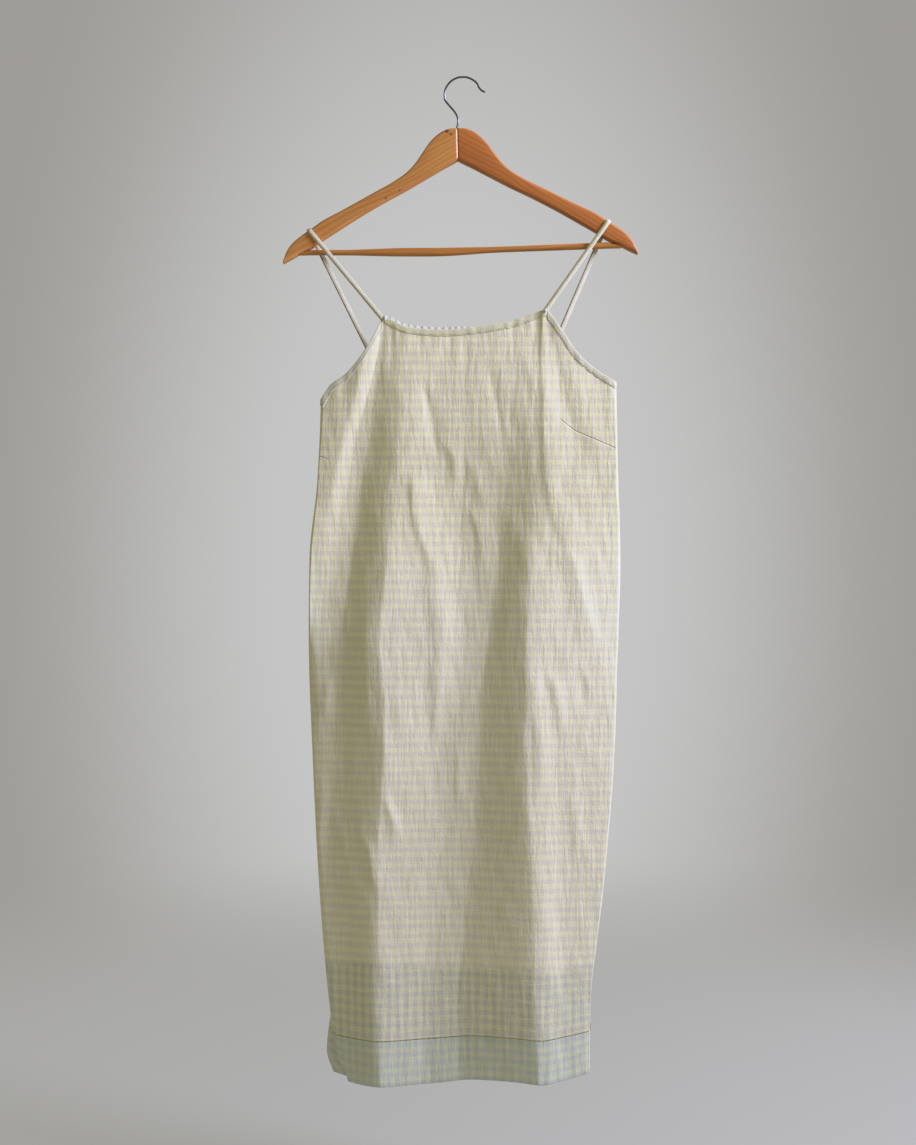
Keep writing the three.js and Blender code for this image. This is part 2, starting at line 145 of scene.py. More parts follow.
def srgb(red, green, blue):
    def linear(c):
        c /= 255
        return c / 12.92 if c <= 0.04045 else ((c + 0.055) / 1.055) ** 2.4
    return (linear(red), linear(green), linear(blue), 1.0)


# Adds nodes to one tree: node makes any, and the rest are short names for the usual ones.
class Nodes:
    def __init__(self, tree):
        self.tree = tree

    def node(self, kind, inputs=(), **settings):
        made = self.tree.nodes.new("ShaderNode" + kind)
        for key, value in settings.items():
            setattr(made, key, value)
        for socket, value in dict(inputs).items():
            self.set(made.inputs[socket], value)
        return made

    def set(self, socket, value):
        if isinstance(value, bpy.types.NodeSocket):
            self.tree.links.new(value, socket)
        else:
            socket.default_value = value

    def sum(self, operation, *values, clamp=False):
        return self.node("Math", enumerate(values), operation=operation, use_clamp=clamp).outputs[0]

    def wave(self, turns):
        return self.sum("SINE", self.sum("MULTIPLY", turns, 2 * math.pi))

    def mix(self, share, first, second):
        return self.node("Mix", {0: share, 6: first, 7: second}, data_type="RGBA").outputs[2]

    def noise(self, place, scale, detail=2.0, rough=0.5):
        inputs = {"Vector": place, "Scale": scale, "Detail": detail, "Roughness": rough}
        return self.node("TexNoise", inputs).outputs["Fac"]

    def stretched(self, place, x, y, z=1.0, turn=0.0):
        inputs = {"Vector": place, "Rotation": (0, turn, 0), "Scale": (x, y, z)}
        return self.node("Mapping", inputs).outputs[0]

    def range(self, value, low, high, toLow=0.0, toHigh=1.0):
        inputs = {"Value": value, "From Min": low, "From Max": high, "To Min": toLow, "To Max": toHigh}
        return self.node("MapRange", inputs, interpolation_type="SMOOTHSTEP").outputs[0]

    def coordinates(self, kind):
        return self.node("TexCoord").outputs[kind]

    def parts(self, vector):
        return self.node("SeparateXYZ", {"Vector": vector}).outputs


# A node group that takes a place, colours and numbers and gives a colour and a height.
def newGroup(name, colours, numbers=()):
    tree = bpy.data.node_groups.new(name, "ShaderNodeTree")
    taken = [("Place", "Vector"), *((c, "Color") for c in colours), *((v, "Float") for v in numbers)]
    for way, sockets in (("INPUT", taken), ("OUTPUT", [("Color", "Color"), ("Height", "Float")])):
        for label, kind in sockets:
            tree.interface.new_socket(label, in_out=way, socket_type="NodeSocket" + kind)
    return Nodes(tree), tree.nodes.new("NodeGroupInput").outputs, tree.nodes.new("NodeGroupOutput").inputs


yarnNames = ("Yellow Warp", "Pale Warp", "Cream Weft", "Grey Weft")


# Check: two soft square waves, one round the dress and one down it. The first chooses between
# two warp yarns, the second between two weft yarns, and the cloth shows a share of each. Slubs
# are single threads a little lighter or darker than the rest.
def makeCheckGroup():
    n, given, out = newGroup("wovenCheck", yarnNames, ("Across", "Down", "Weft", "Slub"))
    wander, sharpness = 2.2 * mm, 0.85  # of the lines where one yarn gives way to the next
    fine, long, mingling = 800, 42, 0.9  # slubs in a metre across and along; how far they rise
    parts = n.parts(given["Place"])
    shares = []
    for part, repeat, stretch in (("X", "Across", (70, 9)), ("Y", "Down", (9, 70))):
        shift = n.sum("SUBTRACT", n.noise(n.stretched(given["Place"], *stretch), 1.0, 1.0), 0.5)
        turns = n.sum("DIVIDE", n.sum("MULTIPLY_ADD", shift, wander, parts[part]), given[repeat])
        shares.append(n.sum("MULTIPLY_ADD", n.wave(turns), sharpness, 0.5, clamp=True))
    warp = n.mix(shares[0], given["Pale Warp"], given["Yellow Warp"])
    weft = n.mix(shares[1], given["Grey Weft"], given["Cream Weft"])
    slubDown = n.noise(n.stretched(given["Place"], fine, long), 1.0, 2.0)
    slubRound = n.noise(n.stretched(given["Place"], long, fine), 1.0, 2.0)
    rise = n.sum("MULTIPLY", n.sum("SUBTRACT", slubRound, slubDown), mingling)
    top = n.sum("ADD", given["Weft"], rise)
    both = n.sum("ADD", slubDown, slubRound)
    slubs = n.sum("MULTIPLY", n.sum("SUBTRACT", both, 1.0), given["Slub"])
    scaled = n.node("VectorMath", {0: n.mix(top, warp, weft)}, operation="SCALE")
    n.set(scaled.inputs["Scale"], n.sum("ADD", 1.0, slubs))
    n.set(out["Color"], scaled.outputs[0])
    n.set(out["Height"], both)
    return n.tree


# Wood: long streaks along X, wavering a little, between a light and a dark tone.
def makeWoodGroup():
    n, given, out = newGroup("woodGrain", ("Light", "Dark"))
    ringsEachMetre, wavering = 160.0, 5.0
    ringShare, fibreShare, broadShare = 0.26, 0.5, 0.6  # of the tone
    waver = n.noise(n.stretched(given["Place"], 6, 25, 25), 1.0, 2.0)
    parts = n.parts(given["Place"])
    depth = n.sum("MULTIPLY_ADD", parts["Y"], 0.6, parts["Z"])
    turns = n.sum("MULTIPLY_ADD", waver, wavering, n.sum("MULTIPLY", depth, ringsEachMetre))
    rings = n.sum("MULTIPLY_ADD", n.wave(turns), 0.5, 0.5)
    fibre = n.noise(n.stretched(given["Place"], 30, 900, 900), 1.0, 3.0)
    broad = n.noise(n.stretched(given["Place"], 9, 60, 60), 1.0, 2.0)
    tone = n.sum("ADD", n.sum("MULTIPLY", rings, ringShare), n.sum("MULTIPLY", fibre, fibreShare))
    tone = n.sum("MULTIPLY_ADD", broad, broadShare, n.sum("SUBTRACT", tone, 0.2), clamp=True)
    n.set(out["Color"], n.mix(tone, given["Light"], given["Dark"]))
    n.set(out["Height"], n.sum("MULTIPLY_ADD", rings, 0.4, fibre))
    return n.tree


checkGroup = makeCheckGroup()
woodGroup = makeWoodGroup()


# A new material, its nodes and its shader's inputs. finish holds the inputs that stay constant.
def newMaterial(name, finish):
    material = bpy.data.materials.new(name)
    material.use_nodes = True
    shader = material.node_tree.nodes["Principled BSDF"].inputs
    for key, value in finish.items():
        shader[key].default_value = value
    return material, Nodes(material.node_tree), shader


def addBump(n, shader, height, distance):
    bump = n.node("Bump", {"Height": height, "Distance": distance})
    n.set(shader["Normal"], bump.outputs[0])


# Adds the check in the four yarns, with its two repeats, the weft's share and the slubs' depth.
def addCheck(n, place, across, down, weft, slub, yarns):
    check = n.node("Group", node_tree=checkGroup)
    values = {"Place": place, "Across": across, "Down": down, "Weft": weft, "Slub": slub}
    for key, value in {**values, **dict(zip(yarnNames, yarns))}.items():
        n.set(check.inputs[key], value)
    return check.outputs


cottonFinish = {"Roughness": 0.9, "Sheen Weight": 0.12, "Sheen Roughness": 0.5, "Specular IOR Level": 0.2}
clothLook = {
    "yellowWarp": srgb(218, 209, 155),
    "paleWarp": srgb(218, 207, 194),
    "lowerWarp": srgb(221, 219, 207),  # both warps lean toward this in the fainter stretch
    "creamWeft": srgb(229, 219, 177),
    "greyWeft": srgb(209, 202, 181),
    "hemShadedYellowWarp": srgb(201, 201, 166),  # where the turned-up layer lies behind, darker: painted shade of light the doubled cloth holds back
    "hemShadedPaleWarp": srgb(173, 173, 170),
    "lowCream": srgb(208, 206, 173),  # wefts and pale warp below the stitch line, darker and greyer: partly painted shade of the doubled hem
    "lowGrey": srgb(184, 191, 183),
    "across": 11.1 * mm, "down": 11.9 * mm,  # the check's repeat
    "slub": 0.22,
    "weft": 0.6, "weftBehind": -0.03, "weftLower": -0.08,  # how much of the cloth it is, and changes
    "fadeFrom": -520 * mm, "fadeTo": -700 * mm,
    "turnUpEdge": -1107 * mm,  # where the painted shade of the turned-up layer behind begins
    "turnUpWaver": 30 * mm,
    "stitchLine": -1199.5 * mm,
    # The darts' line: its tone is painted shadow in the groove, then how strongly it is painted and how deep
    # it is dented.
    "seamTone": srgb(128, 120, 92), "seamShadeStrength": 0.25, "seamDent": 0.5,
    "bump": 0.9 * mm,
    "seams": [  # dart seams: start, end, half width, all as (x, z) in mm
        ((123, -432), (141, -446), 0.7), ((141, -446), (190, -467), 0.8),
        ((-181, -476), (-169, -480), 0.8),
    ],
}


# How near a place is to the stretch from start to end: 1 on it, 0 beyond the half width.
def nearLine(n, flat, start, end, width):
    a, b = (np.array((*v, 0.0)) * mm for v in (start, end))
    fromStart = n.node("VectorMath", {0: flat, 1: a}, operation="SUBTRACT").outputs[0]
    toward = {0: fromStart, 1: (b - a) / ((b - a) ** 2).sum()}
    along = n.node("VectorMath", toward, operation="DOT_PRODUCT").outputs["Value"]
    back = n.node("VectorMath", {0: b - a}, operation="SCALE")
    n.set(back.inputs["Scale"], n.sum("MULTIPLY", along, 1.0, clamp=True))
    away = n.node("VectorMath", {0: fromStart, 1: back.outputs[0]}, operation="DISTANCE")
    return n.range(away.outputs["Value"], width * 1.6 * mm, width * 0.4 * mm)


# The dress cotton. behind is 1 where the turn-up lies behind, below is 1 under the stitch line,
# and lower grows down the skirt; each shifts the yarns' colours. Over the doubled hem, behind and below
# darken and grey them as painted shade. Darts are dented in and drawn with a painted shadow line.
def clothMaterial():
    look = clothLook
    material, n, shader = newMaterial("checkedCotton", cottonFinish)
    place = n.coordinates("UV")
    where = n.parts(n.coordinates("Object"))
    down = n.parts(place)["Y"]
    waver = n.sum("SUBTRACT", n.noise(n.stretched(place, 11, 0.5), 1.0, 1.0), 0.5)
    edge = n.sum("MULTIPLY_ADD", waver, look["turnUpWaver"], down)
    behind = n.range(edge, look["turnUpEdge"] + 3 * mm, look["turnUpEdge"] - 9 * mm)
    below = n.range(down, look["stitchLine"] + 1 * mm, look["stitchLine"] - 2 * mm)
    # Where the hem is doubled its yarns are darkened and greyed: painted shade.
    doubledHemShade = n.sum("MULTIPLY", behind, n.sum("MULTIPLY_ADD", below, -0.4, 1.0))
    lower = n.range(down, look["fadeFrom"], look["fadeTo"])
    yellow = n.mix(n.sum("MULTIPLY", lower, 0.4), look["yellowWarp"], look["lowerWarp"])
    pale = n.mix(n.sum("MULTIPLY", lower, 0.3), look["paleWarp"], look["lowerWarp"])
    pale = n.mix(doubledHemShade, pale, look["hemShadedPaleWarp"])
    weft = n.sum("MULTIPLY_ADD", lower, look["weftLower"], look["weft"])
    weft = n.sum("MULTIPLY_ADD", behind, look["weftBehind"], weft)
    check = addCheck(n, place, look["across"], look["down"], weft, look["slub"], [
        n.mix(doubledHemShade, yellow, look["hemShadedYellowWarp"]),
        n.mix(n.sum("MULTIPLY", below, 0.6), pale, look["lowGrey"]),
        n.mix(below, look["creamWeft"], look["lowCream"]),
        n.mix(below, look["greyWeft"], look["lowGrey"]),
    ])
    flat = n.node("CombineXYZ", {"X": where["X"], "Y": where["Z"]}).outputs[0]
    lines = [nearLine(n, flat, *seam) for seam in look["seams"]]
    seams = n.sum("MAXIMUM", n.sum("MAXIMUM", lines[0], lines[1]), lines[2])
    seams = n.sum("MULTIPLY", seams, n.range(where["Y"], 1 * mm, -1 * mm))  # on the front alone
    # The darts' dark line is painted shadow in their groove.
    seamShade = n.sum("MULTIPLY", seams, look["seamShadeStrength"])
    colour = n.mix(seamShade, check["Color"], look["seamTone"])
    n.set(shader["Base Color"], colour)
    streaks = n.noise(n.stretched(place, 170, 24), 1.0, 3.0, 0.55)
    crinkle = n.noise(n.stretched(place, 330, 240), 1.0, 3.0, 0.6)
    bumps = n.sum("MULTIPLY_ADD", crinkle, 0.35, n.sum("MULTIPLY_ADD", check["Height"], 0.1, streaks))
    addBump(n, shader, n.sum("MULTIPLY_ADD", seams, -look["seamDent"], bumps), look["bump"])
    return material


# The same cotton cut on the bias for a trim: its check turned and its crinkle finer.
def trimMaterial(name, yarns, degrees, across=clothLook["across"], down=clothLook["down"]):
    material, n, shader = newMaterial(name, cottonFinish)
    place = n.coordinates("UV")
    turned = n.node("Mapping", {"Vector": place, "Rotation": (0, 0, math.radians(degrees))}).outputs[0]
    check = addCheck(n, turned, across, down, 0.5, 0.2, yarns)
    n.set(shader["Base Color"], check["Color"])
    crinkle = n.noise(n.stretched(place, 420, 300), 1.0, 2.0, 0.6)
    addBump(n, shader, n.sum("MULTIPLY_ADD", check["Height"], 0.15, crinkle), 0.35 * mm)
    return material


def threadMaterial(name, colour):
    finish = {"Roughness": 0.75, "Sheen Weight": 0.2, "Specular IOR Level": 0.3}
    material, n, shader = newMaterial(name, finish)
    place = n.coordinates("Object")
    dark = tuple(c * 0.7 for c in colour[:3]) + (1.0,)
    n.set(shader["Base Color"], n.mix(n.noise(place, 900.0, 2.0), dark, colour))
    addBump(n, shader, n.noise(place, 2500.0, 1.0), 0.2 * mm)
    return material


# The dress

dress = {
    "wall": 0.55,  # thickness of the cloth
    "rowsAbove": 184,  # rows from the cut edge to the hem's own rows
    "hemRows": [(-1101, -1190, 21), (-1190, -1209, 12), (-1209, -1254.4, 12)],  # from, to, number
    "foldRadius": 0.7,  # of the hem's bottom edge
    "hemLiftFrom": -1080,  # above this height the rows are level
    "seamGap": 0.3,  # between front and back at the sides
}

# Each panel is drawn by lines from left to right: seams, crests and valleys. At each height,
# across is x, out how far the line stands from the hanger's middle, and keen how sharply the
# cloth is creased there, from 0 to 1. Front and back share their side seams.
seamHeights = [-300, -405, -505, -605, -705, -860, -1035, -1160, -1225, -1255]
leftSeam = {"at": seamHeights, "across": [-178, -178, -182, -192, -193, -188, -179, -168, -159, -145],
            "out": [-4, -4, -4, -3, -3, -5, -7, -8, -8, -8]}
rightSeam = {"at": seamHeights, "across": [194, 194, 196, 199, 196, 190, 175, 161.5, 161, 160],
             "out": [-3, -3, -2, -2, -3, -4, -6, -8, -9, -9]}

frontPanel = {
    "side": -1,
    "heights": [-300, -350, -405, -460, -520, -560, -605, -655, -705, -750, -790, -860, -950, -1035,
        -1160, -1255],
    "lines": {
        "leftSeam": leftSeam,
        "leftTurn": {
            "across": [-175.5, -175.5, -175.5, -178, -181, -185, -189, -190, -190, -188, -187, -185, -181,
                -176, -165, -143],
            "out": [11, 12, 12, 11.5, 12.5, 14, 14.5, 15, 12, 8, 7, 6.5, 5, 4, 5, 6],
            "tight": [0.8] * 16,
        },
        "leftRidge": {
            "across": [-110, -121, -135, -151, -163, -171, -177, -183, -185, -180, -178, -176, -177, -173,
                -160, -141],
            "out": [15, 17, 15, 13, 13, 13, 13, 13.3, 12.5, 10, 9.5, 8.6, 6.5, 5.5, 7, 8],
            "keen": [0.6, 0.6, 0.6, 0.5, 0.4, 0.3, 0.2],
        },
        "leftFoot": {
            "across": [-100, -106, -119, -134, -143, -148, -153, -164, -168, -163, -162, -162, -166, -160,
                -150, -137],
            "out": [12, 12.5, 10.5, 9, 8.5, 9, 10, 11.3, 12, 10.9, 10, 10.3, 8.7, 8.8, 10, 11],
            "keen": [0.8, 0.8, 0.6, 0.4, 0.2],
        },
        "leftValley": {
            "across": [-98, -101, -110, -118, -129, -133, -140, -146, -150, -150, -151, -150, -152, -146,
                -137, -131],
            "out": [12, 12.2, 10, 8.5, 7.5, 8, 9.5, 12, 13.6, 12.6, 12.1, 13, 12.8, 13, 15, 16],
        },
        "leftCrest": {
            "across": [-80, -78, -74, -76, -83, -88, -93, -99, -103, -100, -96, -97, -104, -104, -104,
                -102],
            "out": [13, 14, 15, 17, 18, 20.5, 24, 27, 29, 30.5, 31, 31, 28.5, 28, 29, 30],
            "keen": [0, 0, 0, 0, 0.1, 0.3, 0.5, 0.8, 0.9, 0.7, 0.7, 0.6, 0.5, 0.3, 0.2, 0.3],
        },
        "middle": {
            "across": [0, -2, -24, -30, -10, -6, -4, 2, 6, 4, -6, -22, -20, -24, -36, -38],
            "out": [10, 11, 12, 14, 13, 13.5, 15, 17.5, 19.5, 20, 20.3, 20.5, 20, 19.3, 19.5, 20.5],
        },
        "rightValley": {
            "across": [88, 82, 60, 57, 54, 44, 42, 36, 30, 24, 20, 16, 14, 4, -4, -2],
            "out": [9, 11.5, 15.2, 17.5, 17, 16.5, 17, 19.3, 20, 20.2, 20.8, 21.5, 21, 19.8, 20, 20.5],
            "keen": [0, 0, 0, 0, 0, 0, 0, 0, 0, 0, 0, 0, 0, 0.1, 0.2, 0.3],
        },
        "rightCrest": {
            "across": [99, 94, 90, 88, 90, 89, 87, 84, 80, 78, 77.5, 79, 84, 88, 90, 94],
            "out": [10.5, 12.5, 18, 22, 24.5, 26.5, 30.5, 34, 37, 38.5, 39.5, 41, 43, 44, 45, 45],
            "keen": [0, 0, 0, 0, 0.1, 0.2, 0.2, 0.3, 0.7, 0.6, 0.6, 0.4, 0.2, 0.1, 0.2, 0.6],
        },
        "rightShoulder": {
            "across": [101, 103, 108, 108, 114, 122, 128, 128, 126, 126, 126, 126, 126, 126, 128, 129],
            "out": [11.5, 13, 19, 24, 26, 27, 28.5, 31, 33.5, 34.5, 35, 36, 36.5, 37, 37.5, 37.5],
        },
        "rightTurn": {
            "across": [191, 191, 192, 193, 194, 196, 196, 195.5, 193.5, 192, 191, 188, 181, 172.5, 159,
                157.5],
            "out": [10, 12, 19, 22.5, 22, 21, 21.5, 23, 25, 26.5, 27.5, 29, 30.5, 31.5, 32, 32],
            "tight": [0.8] * 16,
        },
        "rightSeam": rightSeam,
    },
    "columns": [5, 12, 11, 11, 20, 30, 22, 26, 20, 24, 5],  # of faces, from each line to the next
    "top": [  # the cut edge along the left armhole, the neck and the right armhole, as x and z
        ([-176, -163, -147, -120, -98], [-405, -387, -376, -343, -302]),
        ([-98, -66, -28, 48, 106], [-302, -316, -319, -311, -292.5]),
        ([106, 124, 146, 173, 194], [-292.5, -318, -350, -373, -386]),
    ],
    "hemLift": (  # x, and how far the hem stands above a level line there
        [-170, -150, -140, -104, -40, 23, 60, 99, 125, 160], [-1, -4, -5.2, -5.2, -3, 3, 3.5, 2, 6, 14],
    ),
}
backPanel = {
    "side": 1,
    "heights": [-300, -405, -505, -605, -705, -860, -1035, -1160, -1225, -1255],
    "lines": {
        "leftSeam": {**leftSeam, "out": [-v for v in leftSeam["out"]]},
        "leftTurn": {
            "across": [-172, -172, -178, -185, -187, -181, -174, -165, -171, -162],
            "out": [8, 8, 9, 9, 10, 11, 12, 12, 12, 12],
        },
        "leftFold": {
            "across": [-99, -100, -104, -108, -110, -112, -112, -112, -112, -112],
            "out": [11, 12, 14, 15, 17, 19, 21, 23, 24, 24],
            "keen": [0.3] * 10,
        },
        "middle": {
            "across": [2, 0, -4, -8, -10, -12, -12, -12, -12, -12],
            "out": [10, 10, 11, 12, 12, 13, 14, 15, 15, 15],
        },
        "rightFold": {
            "across": [106, 106, 105, 104, 102, 100, 98, 96, 95, 95],
            "out": [11, 12, 14, 15, 16, 18, 20, 21, 22, 22],
            "keen": [0.4] * 10,
        },
        "rightTurn": {
            "across": [190, 190, 192, 194, 191, 188, 174, 158, 157, 156],
            "out": [8, 8, 9, 9, 10, 12, 13, 13, 14, 14],
        },
        "rightSeam": {**rightSeam, "out": [-v for v in rightSeam["out"]]},
    },
    "columns": [8, 26, 40, 40, 30, 8],
    "top": [
        ([-176, -142, -116, -99], [-405, -400, -391, -376]),
        ([-99, -62, 2, 62, 106], [-376, -392, -397, -386, -362]),
        ([106, 128, 160, 194], [-362, -381, -390, -386]),
    ],
    "hemLift": ([-170, -150, -140, 0, 100, 160], [4, -2, -4.5, 0, 3, 14]),
}

# Smaller creases. Each row is its rise, negative for a trough, its spread to the left and to the
# right, both at its start and its end, the shares of its length over which it grows and dies away,
# and the path of (x, z) that it runs down.
frontPanel["creases"] = [
    # the tuck that hangs from the right corner and turns off to the right
    (0.9, (4, 7), (15, 16), (0, 0.1), [(102, -300), (101, -350), (102, -400), (103, -455), (104, -480),
     (107, -502), (111, -540), (119, -562), (129, -585), (139, -608), (146, -632)]),
    (1.6, (11, 15), (9, 9), (0.12, 0.5), [(132, -590), (142, -625), (149, -652), (156, -680), (164, -710),
     (169, -750)]),
    # the valley from the right armhole to the side
    (-1.2, (20, 18), (8, 14), (0, 0.45), [(108, -312), (112, -335), (117, -360), (121, -380), (126, -402),
     (131, -422), (136, -440), (143, -462), (153, -482), (166, -505), (178, -535)]),
    # below the right crest
    (1.8, (9, 9), (12, 13), (0.3, 0.4), [(84, -715), (87, -750), (90, -790), (94, -830), (97, -870),
     (99, -910)]),
    (1.5, (4, 8), (10, 10), (0.3, 0.5), [(106, -735), (111, -755), (117, -780), (123, -815), (128, -850)]),
    (0.9, (6, 6), (9, 9), (0.3, 0.4), [(136, -885), (139, -920), (141, -945), (140, -1000)]),
    (-0.9, (8, 8), (5, 5), (0.4, 0.4), [(145, -735), (149, -765), (151, -800)]),
    # across the middle, falling from the left crest
    (2, (4, 8), (20, 22), (0.2, 0.35), [(-61, -492), (-61, -520), (-60, -540), (-55, -562), (-49, -582),
     (-41, -602), (-36, -625), (-33, -650)]),
    (2, (13, 12), (16, 14), (0.3, 0.5), [(-33, -590), (-30, -640), (-29, -680), (-26, -720), (-28, -770),
     (-29, -820)]),
    (0.5, (3, 3), (6, 6), (0.3, 0.3), [(-36, -722), (-33, -755), (-31, -780), (-30, -810)]),
    (-1, (6, 6), (5, 5), (0.3, 0.35), [(-49, -372), (-46, -395), (-42, -412), (-38, -435), (-35, -455),
     (-33, -480)]),
    (1.1, (5, 5), (8, 8), (0.3, 0.4), [(-26, -446), (-19, -462), (-12, -478), (-9, -500), (-9, -530)]),
    (0.8, (5, 5), (8, 8), (0.3, 0.4), [(8, -470), (13, -490), (19, -510), (27, -535), (34, -560)]),
    (1, (4.5, 6), (18, 18), (0.2, 0.4), [(11, -535), (15, -552), (20, -570), (24, -590), (25, -612),
     (25, -650)]),
    (-1.1, (5, 5), (5, 5), (0.3, 0.4), [(28, -345), (33, -365), (38, -388), (43, -410), (47, -435),
     (50, -465)]),
    (0.6, (7, 7), (6, 6), (0.4, 0.4), [(79, -335), (82, -360), (86, -382), (90, -405)]),
    (1, (4, 4), (7, 7), (0.4, 0.4), [(-4, -815), (-4, -860), (-5, -890), (-6, -925)]),
    (0.8, (3, 3), (6, 6), (0.4, 0.4), [(-28, -850), (-27, -880), (-27, -905)]),
    (-1, (10, 10), (5, 5), (0.3, 0.4), [(-45, -738), (-44, -775), (-42, -815), (-40, -850)]),
    # pressed line down the middle
    (-0.4, (2.5, 2.5), (3.5, 3), (0.02, 0.6), [(2, -330), (2, -407), (1, -470), (-1, -557), (-2, -644),
     (-2, -720)]),
    # beside the left crest
    (-0.6, (6, 6), (5, 5), (0.4, 0.4), [(-95, -730), (-90, -770), (-89, -810), (-92, -845)]),
    (1.5, (6, 6), (7, 7), (0.3, 0.4), [(-96, -895), (-89, -920), (-84, -938), (-86, -965)]),
    (1.6, (4, 5), (8, 8), (0.2, 0.4), [(-121, -950), (-115, -975), (-111, -995), (-108, -1030)]),
    (1.6, (10, 10), (9, 9), (0.3, 0.3), [(-116, -640), (-119, -700), (-118, -770), (-113, -850)]),
    # in the shade at the left
    (2.4, (7, 7), (12, 12), (0.4, 0.4), [(-170, -745), (-168, -765), (-170, -790), (-174, -815)]),
    (1, (6, 6), (6, 6), (0.3, 0.4), [(-173, -880), (-176, -920), (-179, -950), (-179, -985), (-176, -1030)]),
    (1, (7, 7), (6, 6), (0.35, 0.35), [(-149, -928), (-148, -955), (-147, -985)]),
    (0.8, (6, 6), (6, 6), (0.4, 0.4), [(-141, -975), (-138, -1000), (-132, -1030)]),
    (0.6, (5, 5), (5, 5), (0.4, 0.4), [(-128, -930), (-125, -955), (-124, -975)]),
    (-0.9, (6, 6), (6, 6), (0.4, 0.4), [(-151, -655), (-152, -690), (-156, -720)]),
]
# Small gathers that hang from the bound edges: x, how high or deep, how wide, how long.
frontPanel["gathers"] = [
    (-168, -0.6, 3, 22), (-157, 0.6, 4, 26), (-147, -1.3, 4.5, 30), (-137, -0.8, 3.5, 20), (-128, 0.5, 4, 20),
    (-88, -0.9, 4, 55), (-78, -0.7, 2.8, 20), (-69, 0.7, 2.8, 16), (-52, -0.7, 3, 20), (-40, -0.5, 3, 16),
    (-30, 0.4, 3.5, 16), (-16, -1.0, 3.5, 24), (-6, 0.7, 3.5, 20), (6, -0.8, 4, 48), (18, -0.8, 3, 22),
    (29, -0.6, 3, 13), (44, -0.5, 3, 16), (57, 0.9, 3, 26), (64, -1.0, 3, 26), (72, 0.7, 3, 13),
    (78, -0.8, 3, 15), (86, 0.8, 3.5, 20), (131, 0.3, 3, 16), (140, -0.45, 3, 20), (147, 0.4, 3, 20),
    (153, -0.6, 3, 22), (163, -0.8, 3.5, 24), (174, -0.8, 4, 28), (184, 0.6, 4, 30),
]
backPanel["creases"] = [
    (0.8, (3, 3), (3, 3), (0.02, 0.6), [(0, -402), (-2, -520), (-4, -640), (-5, -760)]),
    (1.8, (9, 9), (6, 6), (0.05, 0.6), [(-92, -392), (-84, -450), (-66, -540), (-52, -640)]),
    (1.7, (6, 6), (10, 10), (0.05, 0.6), [(98, -380), (88, -450), (70, -530), (60, -600)]),
    (1.5, (12, 12), (7, 7), (0.4, 0.5), [(-30, -620), (-42, -720), (-44, -830), (-38, -920)]),
    (1.4, (8, 8), (12, 12), (0.4, 0.5), [(36, -560), (48, -680), (54, -800), (50, -900)]),
    (1.6, (9, 9), (6, 6), (0.4, 0.5), [(-150, -520), (-142, -610), (-128, -700)]),
    (1.4, (6, 6), (10, 10), (0.4, 0.5), [(158, -500), (148, -590), (132, -690)]),
]
backPanel["gathers"] = [
    (-140, -0.8, 4, 24), (-122, 0.7, 4, 24), (-84, -0.9, 4, 36), (-70, 0.6, 3, 20), (-52, -0.7, 3, 24),
    (-33, 0.5, 3.5, 18), (-14, -0.8, 3.5, 26), (8, 0.6, 3.5, 22), (21, -0.8, 3.5, 30), (45, 0.5, 3, 18),
    (62, -0.8, 3.5, 30), (80, 0.7, 4, 24), (92, -0.8, 3.5, 36), (124, -0.8, 4, 26), (143, 0.7, 4, 24),
    (162, -0.8, 4, 24),
]


# Every line's value at the heights z, stacked line by line. A short list goes on with zeros.
def lineValues(panel, key, z, scale=mm):
    stack = []
    for line in panel["lines"].values():
        heights = np.array(line.get("at", panel["heights"])) * mm
        given, values = line.get(key, []), np.zeros(len(heights))
        values[:len(given)] = given
        stack.append(curveThrough(-heights, values * scale, -z))
    return np.stack(stack)


# From line to line by t, which counts lines: a cubic that leaves each line with the mean of the
# slopes on both sides or, as far as the line is keen, with the slope of its own side.
def acrossLines(stack, t, keen, levelEnds):
    slopes = np.diff(stack, axis=0)
    tangents = np.zeros_like(stack)
    tangents[1:-1] = meanSlope(slopes[:-1], slopes[1:])
    if not levelEnds:
        tangents[0], tangents[-1] = slopes[0], slopes[-1]
    k = np.clip(np.floor(t).astype(int), 0, len(slopes) - 1)
    at = (np.arange(stack.shape[1])[:, None], np.arange(stack.shape[2])[None, :])
    slope = slopes[(k, *at)]
    leave, arrive = tangents[(k, *at)], tangents[(k + 1, *at)]
    leave = leave + (slope - leave) * keen[(k, *at)]
    arrive = arrive + (slope - arrive) * keen[(k + 1, *at)]
    return cubic(t - k, stack[(k, *at)], stack[(k + 1, *at)], leave, arrive)


# The panel before its creases: x and y by t, from the lines at each height. Where a line is
# tight, x is creased there too, so that the cloth turns within a few millimetres.
def plainPlace(panel, t, z):
    tight = lineValues(panel, "tight", z, 1.0)
    x = acrossLines(lineValues(panel, "across", z), t, tight, True)
    out = lineValues(panel, "out", z)
    out[[0, -1]] += dress["seamGap"] / 2 * mm
    y = panel["side"] * acrossLines(out, t, np.maximum(lineValues(panel, "keen", z, 1.0), tight), False)
    return np.stack([x, y, z], -1)


